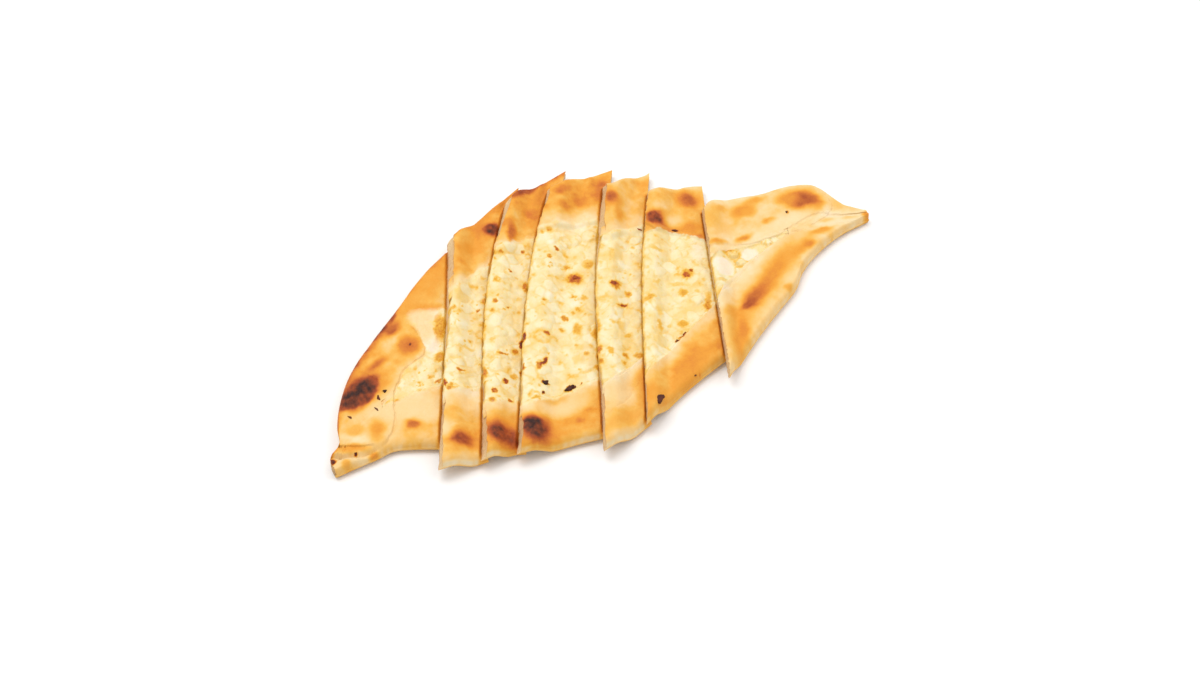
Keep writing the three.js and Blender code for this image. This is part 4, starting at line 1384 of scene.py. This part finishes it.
# %% Marks of the oven on the cheese
# Middle x and y, half length, half width, turn in degrees, browning, blur.
CHEESE_MARKS = [
    (4, 52, 6, 5.4, -32, 0.42, 0.7), (4, 52.5, 4.6, 4, -32, 0.74, 0.4),
    (5, 53, 2.4, 1.8, -10, 0.82, 0.4), (-50, 1, 2, 6.6, -62, 0.58, 0.5),
    (-50, 1, 1.2, 5.6, -62, 0.86, 0.3), (-57, -13, 2.4, 1.8, -20, 0.9, 0.3),
    (-45, -22, 3.6, 2.2, 10, 0.93, 0.3), (-62, -19, 1, 1.3, 0, 0.85, 0.3),
    (-37, -22, 0.9, 0.9, 0, 0.83, 0.3), (18, 58, 2.6, 3.2, 0, 0.58, 0.6),
    (5, 63, 2.6, 2.4, 0, 0.6, 0.6), (6, 77, 1.3, 1.7, 0, 0.74, 0.3), (-2, 73, 1.6, 1.8, 0, 0.68, 0.3),
    (1, 36, 2, 2.2, 0, 0.53, 0.5), (-18, 28, 2.4, 2.2, 0, 0.64, 0.4),
    (-16, 16, 2.8, 4.8, -20, 0.56, 0.5), (-36, 20, 2, 1.6, 0, 0.76, 0.4),
    (-8, 7, 3, 5.5, -30, 0.58, 0.5), (-16, -9, 1.8, 3, -30, 0.7, 0.4), (-21, -17, 2.2, 3, 0, 0.64, 0.4),
    (-22, 3, 2.4, 2, 0, 0.36, 0.6), (-29, -5, 3, 2.6, 0, 0.34, 0.6), (-54, -1, 1.2, 2.2, 0, 0.68, 0.4),
    (17, 16, 4.4, 1.7, 3, 0.58, 0.5), (17, 16, 3.4, 0.9, 3, 0.86, 0.4), (26, 24, 2, 1.8, 0, 0.6, 0.5),
    (32, 53, 1.8, 2.8, -20, 0.4, 0.6), (8, -6, 2.2, 2.6, 0, 0.38, 0.6),
    (7, 2, 1.6, 3.6, -30, 0.38, 0.6), (0, -13, 1.6, 3, -30, 0.38, 0.6), (67, 19, 3.6, 4, 0, 0.58, 0.5),
    (71, 20, 1.2, 1.2, 0, 0.82, 0.3), (66, 18, 1.6, 1.4, 0, 0.72, 0.4), (56, 7, 2.6, 2.2, 0, 0.52, 0.5),
    (42, -14, 4, 1.6, -32, 0.54, 0.5), (67, -6, 2.4, 5, -30, 0.54, 0.6),
    (31, -25, 1.2, 1.6, 20, 0.85, 0.3), (38, -23, 2.4, 1, 15, 0.82, 0.4), (47, -22, 3, 1, 5, 0.68, 0.4),
    (59, 43, 5, 1.6, -32, 0.42, 0.5), (-95, 23, 2.6, 1.1, -20, 0.7, 0.3),
    (-85, 12, 1.8, 3.6, -32, 0.7, 0.4), (-109, 18, 1.4, 3, -32, 0.8, 0.4),
    (-61, 62, 1.3, 0.9, 0, 0.68, 0.3), (-84, 38, 6, 1, -25, 0.4, 0.5), (-28, 77, 1, 1.1, 0, 0.8, 0.3),
    (-51, 58, 1.9, 2, 0, 0.68, 0.4), (-46, 52, 0.8, 0.8, 0, 0.78, 0.3),
    (-12, 89, 1.3, 1.6, 0, 0.74, 0.4), (-26, 63, 1.6, 4.4, -32, 0.68, 0.4),
    (-51, 24, 2.4, 3.4, -32, 0.86, 0.3), (-67, 21, 3.8, 0.8, -25, 0.68, 0.4),
    (-76, 2, 2, 1.9, 10, 0.84, 0.4), (-86, -3, 1.8, 2.3, 0, 0.76, 0.4),
    (-81, -12, 1.6, 1.2, -20, 0.72, 0.4), (-63, 4, 1.4, 2.4, -32, 0.74, 0.4),
    (-69, 4, 2, 2, 0, 0.54, 0.5), (-85, 67, 3, 6.5, -32, 0.3, 0.3), (-100, 42, 3.6, 3.6, 0, 0.32, 0.3),
    (98, 19.5, 5, 1.8, -10, 0.64, 0.5), (80, -2, 4, 1.6, -20, 0.34, 0.6),
    (74, -10, 5, 3, 40, 0.42, 0.5), (-127, 42, 0.7, 1, 0, 0.78, 0.3), (-131, 38, 0.7, 1, 0, 0.78, 0.3),
    (-98, 70, 12, 14, -32, 0.25, 0.4), (-88.3, 61.5, 3.8, 10, -32, 0.6, 0.35),
    (-99, 42, 3.4, 4.4, -32, 0.6, 0.3), (-110, 26.5, 2.4, 1.3, 0, 0.68, 0.4),
    (66, 18.6, 1.8, 2.2, 0, 0.76, 0.4), (55.3, 6.2, 2, 1.8, 0, 0.58, 0.5),
    (63, -11.6, 2.4, 5.6, -20, 0.64, 0.5), (36.5, -23.8, 3.4, 1.3, 10, 0.78, 0.4),
    (41.4, -15, 4, 2.2, 0, 0.58, 0.5), (32.5, 10, 4.6, 1.7, 5, 0.56, 0.5),
    (33.5, -1.5, 2, 4, -20, 0.4, 0.6), (27.4, -11, 1.4, 4.4, -32, 0.52, 0.6),
    (57.3, 13.6, 6, 1.6, -25, 0.4, 0.6), (21, 31.3, 3.6, 2.8, 10, 0.66, 0.5),
    (21, 32, 1.8, 1.3, 0, 0.84, 0.4), (-10.6, -13.8, 2, 2.4, 0, 0.54, 0.5),
    (-2.6, -18.3, 2, 2, 0, 0.64, 0.5), (-6.7, -23.3, 2, 2, 0, 0.58, 0.5),
    (5.2, -22.5, 3.2, 2, -40, 0.6, 0.5), (7, -5.3, 3, 1.7, 0, 0.54, 0.5),
    (8.7, 25, 5, 1.3, -20, 0.42, 0.6),
]
# Middle x and y, radius, width of the ring, browning. The rings on the large curds are
# partly their amber rims and partly painted shade on their sloping sides.
CHEESE_RINGS_AND_CURD_SHADE = [
    (-69, 44, 2.8, 1, 0.58), (-106, 12, 2, 0.8, 0.56), (-40, 73, 1.7, 0.8, 0.64),
    (-68, -19, 3, 1.1, 0.66), (-40, 19, 4.6, 1.4, 0.52), (-11, 84, 1.8, 0.8, 0.6),
    (20, 82, 6.6, 0.6, 0.36), (31, 78, 5.2, 0.6, 0.36), (14, 80, 4, 0.6, 0.4), (18, 59, 3.2, 0.8, 0.5),
    (100.5, 16.5, 4.4, 0.8, 0.54), (101, 8, 3.8, 0.8, 0.5), (96, 3.4, 2.8, 0.7, 0.46),
    (125, 13.9, 3.4, 0.7, 0.5),
]


print(len(CHEESE_MARKS), "marks and", len(CHEESE_RINGS_AND_CURD_SHADE), "rings on the cheese")

# %% [markdown]
# ## Freckles and shades of the curds
#
# The tiny freckles are too many to place one by one. They are strewn one in each square
# of a lattice and kept only where a random number says so, in four sizes that gather in
# clusters. Every curd has a shade of its own, and thin toasted lines gather in the valleys
# between them.

# %% Freckles, shades and rings
# Size of the lattice, share of the freckles kept, browning, seed.
FRECKLES = [(16, 0.5, 0.68, 118), (9, 0.4, 0.6, 106), (5, 0.25, 0.62, 107), (3.2, 0.15, 0.56, 108)]


def strewn(x, y, size, keep, seed):
    """Distance in millimetres from the nearest of freckles strewn one in each lattice
    square, a share of them kept, less the freckle's own radius, which comes from a second
    random number made of the first."""
    away, _, own = lumps(x, y, size, seed)
    radius = size * mix(0.06, 0.15, scatter(np.floor(own * 997), np.zeros(own.shape), seed))
    return np.where(own < keep, away * size - radius, size)


def curd_shades(x, y):
    """A pale ground with clouds, every curd with a shade of its own, some nearly white, and
    a toasted line e^-(gap / 0.07)^2 in the valleys between them."""
    nearest, second, own = curds(x, y)
    gap = second - nearest
    ground = 0.21 + 0.15 * clouds(x, y, 12, 103, 3) + 0.16 * (own - 0.5) * ease(gap, 0, 0.35)
    ground = ground + 0.2 * ease(clouds(x, y, 6, 104, 3), 0.3, 0.9)
    ground = mix(ground, 0.03, 0.7 * ease(own, 0.66, 0.9) * ease(gap, 0.05, 0.3))
    valley = np.exp(-((gap / 0.07) ** 2)) * ease(clouds(x, y, 7, 119, 2), -0.1, 0.5)
    return mix(ground, 0.46, 0.4 * valley)


def with_freckles(ground, x, y, wx, wy, freckled):
    """Freckles at the warped place wx and wy, each with a paler halo, and fewer and weaker
    ones between the clusters. freckled is the share to which they show."""
    cluster = ease(clouds(x, y, 14, 105, 2), -0.1, 0.5)
    for size, keep, level, seed in FRECKLES:
        past = strewn(wx, wy, size, keep, seed)
        halo = 1 - ease(past, 0, 0.16 * size)
        ground = mix(ground, 0.44, 0.85 * freckled * cluster * halo)
        ground = mix(ground, level, freckled * mix(0.12, 1, cluster) * (1 - ease(past, -0.5, 0.4)))
    return ground


def with_rings_and_curd_shade(ground, x, y, wx, wy):
    """Each ring is a bell across the distance from its circle, broken by hills."""
    broken = np.clip(0.6 + 0.5 * hills(x, y, 3, 109), 0, 1)
    # Round the large curds a ring is partly an amber rim and partly painted shade of the curd's side.
    for cx, cy, radius, width, level in CHEESE_RINGS_AND_CURD_SHADE:
        away = np.hypot(wx - cx, wy - cy)
        ground = mix(ground, level, broken * np.exp(-(((away - radius) / width) ** 2)))
    return ground


shades = curd_shades(grid_x, grid_y)
print("the curds' shades run from %.2f to %.2f" % (shades.min(), shades.max()))

# %% [markdown]
# ## All the browning of the cheese, with its painted shade
#
# The layers are laid one over another like glazes, and what stands out most comes last.
# The place is warped by clouds first, so that freckles and marks get ragged outlines. Each
# could be a layer of noise in the material, but then none would know where a curd lies.

# %% Browning of the cheese, and painted shade
def cheese_browning_and_shade(place, bare, freckled):
    """The shades of the curds, freckles, a darker line at each cut that is partly browned cheese
    and partly painted shade of the joint, rings, some of them partly painted shade round the
    large curds, pale bare dough, painted shade in the crevice beside the next slice, and the
    marks."""
    x, y = place["x"], place["y"]
    wx = x + 0.8 * clouds(x, y, 3, 101, 2) + 0.4 * hills(x, y, 1.2, 113)
    wy = y + 0.8 * clouds(x, y, 3, 102, 2) + 0.4 * hills(x, y, 1.2, 114)
    ground = with_freckles(curd_shades(x, y), x, y, wx, wy, freckled)
    # Along each cut the cheese is darker: partly browned cheese, partly painted shade of the joint
    # between slices.
    edge = ease(place["cut_edge"] + 0.9 * clouds(x, y, 4, 112, 2), 2.6, 0.2)
    ground = mix(ground, 0.5 + 0.1 * hills(x, y, 3, 115), 0.75 * edge)
    ground = with_rings_and_curd_shade(ground, x, y, wx, wy)
    ground = mix(ground, 0.04 + 0.04 * clouds(x, y, 6, 110, 2), bare)
    # Painted shade: the crevice along the edge of the slice on top is darkened to amber.
    crevice_shade = 1 - ease(place["outside"] + 0.7 * hills(x, y, 4, 116), 0, 1.3)
    ground = mix(ground, 0.58, 0.65 * crevice_shade)
    return np.clip(marked(ground, wx, wy, CHEESE_MARKS, 111), 0, 1)


print("browning of the cheese in the middle of slice 4: %.2f" % cheese_browning_and_shade(middle, 0, 1))

# %% [markdown]
# ## Melted cheese
#
# The cheese is creamy yellow, greener in thin pools and nearly white on fresh curds, with
# a soft gloss of fat. Light goes a little way into it, which softens its valleys. A full
# skin or wax shader would blur the freckles, so the shader gets only a small share of
# scattering under the surface.

# %% The cheese's finish
cheese, tree, shader = new_material("cheese")
browning = point_value(tree, "browning")
toast = rescaled(tree, browning, 0.3, 0.6, 0.1, 0.45)
grain = worked_out(tree, "SUBTRACT", speckle(tree, 1.5, 3, 0.7), 0.5)
crumbly = worked_out(tree, "MULTIPLY_ADD", grain, toast, browning)
uneven = sums(tree, crumbly, (speckle(tree, 4), 0.1))
toasted = ramp(tree, uneven, [
    (0.0, "FEF4D4"), (0.12, "FCEBBA"), (0.24, "FADE9C"), (0.36, "F9D17A"), (0.48, "F5BD4A"),
    (0.58, "EAA82E"), (0.68, "D98416"), (0.78, "B8520F"), (0.88, "84350F"), (1.0, "40201F"),
])
greenish = [(0.0, WHITE), (0.5, WHITE), (0.62, (0.96, 0.98, 0.78, 1)), (1.0, (0.94, 0.97, 0.7, 1))]
tinted = blend(tree, 0.18, toasted, ramp(tree, speckle(tree, 7, 2, 0.5), greenish), "MULTIPLY")
doughy = ramp(tree, uneven, [
    (0.0, "FFF1D8"), (0.06, "FFECCB"), (0.18, "FCE0AE"),
    (0.34, "F8CE8A"), (0.56, "EFB24E"), (1.0, "C06A28"),
])
shown = blend(tree, point_value(tree, "bare"), tinted, doughy)
baked = crust_colour(tree, point_value(tree, "under_film"))
shown = blend(tree, point_value(tree, "crusty"), shown, baked)
surface(tree, shader, shown, 0.42, 0.35)
shader.inputs["Subsurface Weight"].default_value = 0.12
shader.inputs["Subsurface Radius"].default_value = (0.002, 0.0012, 0.0006)
shader.inputs["Subsurface Scale"].default_value = 1
bumps(tree, shader, sums(tree, speckle(tree, 1.8), (speckle(tree, 0.5), 0.4)), 0.00012)
print("cheese:", len(tree.nodes), "nodes")

# %% [markdown]
# ## The cheese of each slice
#
# Cheese could be one sheet over the whole bread, but the knife has parted it, and each
# slice has to lift out with its own. So it is closed in the same way as the dough. Its cut
# faces stand a hair proud of the crumb, as cheese does when a knife drags it.

# %% Lay the cheese
SHEET_RINGS = 6


def cheese_push(share, band, on_cut_face):
    """Cut faces stand 0.15 mm to 0.35 mm proud, unevenly."""
    drag = 0.2 + 0.15 * hills(band[:, 0] + band[:, 1], 2 * band[:, 2], 3, 121)
    return np.where(on_cut_face, drag, 0)


for name, cut in SLICES.items():
    top, bottom, place, bare, crusty = cheese_grids(name, cut)
    grids[name].append(top)
    browning = cheese_browning_and_shade(place, bare, cut["freckled"])
    under_film = crust_browning_and_shade(name, cut, place)
    none = np.zeros(bare.shape)
    # On the cut faces the browning runs to 0.5 at the foot: partly browned cheese, partly painted shade
    # of the joint between slices.
    values = {"browning": (browning, none + 0.5, 1), "bare": (bare, none, 1),
              "crusty": (crusty, crusty, 1), "under_film": (under_film, under_film, 1)}
    piece = closed_piece(name + "_melted_cheese", top, bottom, SHEET_RINGS, cheese_push,
                         [cheese], values)
    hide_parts(name + "_cheese")
    print(piece.name, len(piece.data.polygons), "faces")

# %% [markdown]
# ## Burnt crumbs
#
# A few scraps of dough and cheese burnt black and stuck where they lay. A mark of colour
# alone would look flat when the light rakes over it, so each is a small body. It has to sit
# on the surface under it, whose height is read off the grids that were kept.

# %% Where scraps stuck to the bread
# Slice, middle x and y, half length, half width, height, turn in degrees, browning.
SCRAPS = [
    ("slice_4", -57, -13, 2.2, 1.5, 1.1, -20, 0.95), ("slice_4", -45, -22, 3.4, 1.7, 1.3, 12, 0.97),
    ("slice_4", -42, -22.5, 1.4, 1.1, 1, 40, 0.94), ("slice_4", -62, -19, 0.9, 0.7, 0.7, 0, 0.9),
    ("slice_6", -6.2, -61.8, 3.4, 2.8, 1, 40, 0.95), ("slice_6", 79.3, 52.4, 1.7, 0.8, 0.8, -32, 0.93),
    ("slice_6", 31, -25, 1.2, 0.8, 0.8, 50, 0.93), ("slice_6", 38, -22.5, 1.6, 0.6, 0.7, 20, 0.88),
    ("slice_1", -141.5, 35.1, 1.25, 1.1, 0.8, 0, 0.98),
    ("slice_1", -147.3, 32.4, 2.2, 0.9, 0.6, 75, 0.93),
    ("slice_1", -152.3, 25.7, 2, 0.5, 0.5, -77, 0.92),
    ("slice_1", -169.1, 28.4, 1.6, 0.6, 0.6, -60, 0.92), ("slice_3", -51, 24, 1.8, 1.4, 1, 30, 0.9),
    ("slice_5", 60.9, 66, 2.3, 0.4, 0.5, -58, 0.82), ("slice_1", -178.7, 2.8, 0.9, 0.7, 0.5, 0, 0.92),
    ("slice_7", 150, 28, 0.8, 0.8, 0.4, 0, 0.95), ("slice_6", 25, -54, 0.8, 0.8, 0.4, 0, 0.95),
    ("slice_4", 5, 53, 1.4, 1, 0.7, 10, 0.82), ("slice_6", 71, 20, 0.9, 0.8, 0.5, 0, 0.78),
]


def surface_height(name, x, y):
    """Height of the slice's higher surface at the grid point nearest to x and y."""
    found = []
    for grid in grids[name]:
        away = np.hypot(grid[:, :, 0] - x, grid[:, :, 1] - y)
        found.append(grid[:, :, 2].ravel()[away.argmin()] if away.min() < 2 else -1)
    return max(found)


print("the first scrap sits %.1f mm high" % surface_height(*SCRAPS[0][:3]))

# %% [markdown]
# ## A crumb out of a ball
#
# Each crumb is a squashed ball with an uneven radius, half sunk into the bread. An
# icosphere with a noise modifier would do as well, but a ball's grid of turns and heights
# gets by with 72 faces. All of them together are one piece.

# %% Burnt scraps
AROUND, UP = 12, 7  # points round a scrap, and levels from its foot to its head


def scrap_points(scrap, seed):
    """A ball's grid of turns and heights, its radius uneven by hills, squashed and turned,
    then the middles of its foot and its head."""
    name, x, y, long, short, tall, turn, _ = scrap
    a = np.linspace(0, 2 * np.pi, AROUND, endpoint=False)[:, None]
    b = np.linspace(-np.pi / 2, np.pi / 2, UP)[1:-1][None, :]
    uneven = hills(2.5 * np.cos(a) + 0 * b, 2.5 * np.sin(a) + 2 * np.sin(b), 1.3, seed)
    radius = 1 + 0.3 * uneven + 0.22 * np.cos(3 * a + seed)
    u, v = radius * np.cos(a) * np.cos(b) * long, radius * np.sin(a) * np.cos(b) * short
    u, v = turned(u, v, turn)
    level = surface_height(name, x, y) + 0.15 * tall
    ball = np.stack([x + u, y + v, level + radius * np.sin(b) * tall], 2).reshape(-1, 3)
    return np.vstack([ball, [x, y, level - tall], [x, y, level + tall]])


def scrap_faces(start):
    """Squares of the ball's grid, wrapped round, and a fan of triangles at each end."""
    n = start + np.arange(AROUND * (UP - 2)).reshape(AROUND, UP - 2)
    nxt = np.roll(n, -1, 0)
    squares = np.stack([n[:, :-1], nxt[:, :-1], nxt[:, 1:], n[:, 1:]], 2).reshape(-1, 4)
    foot, head = np.full(AROUND, start + n.size), np.full(AROUND, start + n.size + 1)
    low_fan = np.stack([foot, nxt[:, 0], n[:, 0]], 1)
    high_fan = np.stack([head, n[:, -1], nxt[:, -1]], 1)
    return squares.tolist() + low_fan.tolist() + high_fan.tolist()


points, faces, levels = [], [], []
for seed, scrap in enumerate(SCRAPS):
    faces += scrap_faces(sum(map(len, points)))
    points.append(scrap_points(scrap, 130 + seed))
    levels += [scrap[7]] * len(points[-1])
mesh = bpy.data.meshes.new("burnt_scraps")
mesh.from_pydata(((np.vstack(points) - [0, PLAN_MIDDLE, 0]) * MM).tolist(), [], faces)
mesh.polygons.foreach_set("use_smooth", np.ones(len(mesh.polygons), bool))
keep_value(mesh, "browning", levels)
mesh.materials.append(crust)
scraps = put_in_scene("burnt_scraps", mesh)
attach(scraps, "root")
print(len(SCRAPS), "scraps,", len(mesh.polygons), "faces")

# %% [markdown]
# ## Floor
#
# The bread lies on a plain white table. The floor is only there for the picture. It lies a
# hair below the bread, so that the two surfaces never fight for the same height.

# %% A white floor
HALF, BELOW = 4, -0.0003
corners = [(-HALF, -HALF, BELOW), (HALF, -HALF, BELOW), (HALF, HALF, BELOW), (-HALF, HALF, BELOW)]
floor_mesh = bpy.data.meshes.new("floor")
floor_mesh.from_pydata(corners, [], [(0, 1, 2, 3)])
white, tree, shader = new_material("white_floor")
shader.inputs["Base Color"].default_value = (0.86, 0.86, 0.865, 1)
shader.inputs["Roughness"].default_value = 0.8
floor_mesh.materials.append(white)
floor = put_in_scene("floor", floor_mesh)
print("the floor is", 2 * HALF, "m wide")

# %% [markdown]
# ## Light
#
# The bread stood in soft daylight from behind on the left. One small lamp would give hard
# shadows. A wide square lamp and a weaker one in front, with a white sky to fill the
# shadows, give soft ones, as on a light table.

# %% Soft light
def aimed(name, data, place, towards):
    """An object whose own -Z axis, along which lamps and cameras look, points that way."""
    holder = put_in_scene(name, data)
    holder.location = place
    holder.rotation_mode = "QUATERNION"
    holder.rotation_quaternion = towards.to_track_quat("-Z", "Y")
    return holder


def lamp(name, place, size, power, colour):
    """A square area lamp that looks at the bread."""
    light = bpy.data.lights.new(name, "AREA")
    light.size, light.energy, light.color = size, power, colour
    return aimed(name, light, place, -Vector(place))


lamp("main_lamp", (-0.3, 0.5, 1.6), 1.2, 15, (1, 0.985, 0.96))
lamp("front_lamp", (0.9, -0.3, 1.2), 1.2, 5.6, (1, 1, 1))
world = bpy.data.worlds.new("sky")
bpy.context.scene.world = world
world.use_nodes = True
sky = world.node_tree.nodes["Background"].inputs
sky["Color"].default_value, sky["Strength"].default_value = WHITE, 0.78
print("lamps:", ", ".join(light.name for light in bpy.data.lights))

# %% [markdown]
# ## Camera
#
# The camera looks down at 50 degrees from the front left, through a lens long enough to
# keep the far end of the bread nearly as large as the near one. Its place could be found
# by dragging it about, but with two angles and a distance each can be set alone.

# %% Camera
AZIMUTH, ELEVATION, DISTANCE = np.radians(-31.98356), np.radians(50), 1.45282
target = Vector((-0.0044653, -0.0251384, 0))
level = np.cos(ELEVATION)
back = Vector((np.sin(AZIMUTH) * level, -np.cos(AZIMUTH) * level, np.sin(ELEVATION)))
camera = bpy.data.cameras.new("camera")
camera.lens, camera.sensor_width = 70, 36
holder = aimed("camera", camera, target + DISTANCE * back, -back)
bpy.context.scene.camera = holder
bpy.context.scene.view_settings.view_transform = "Standard"
print("camera at", [round(v, 3) for v in holder.location])
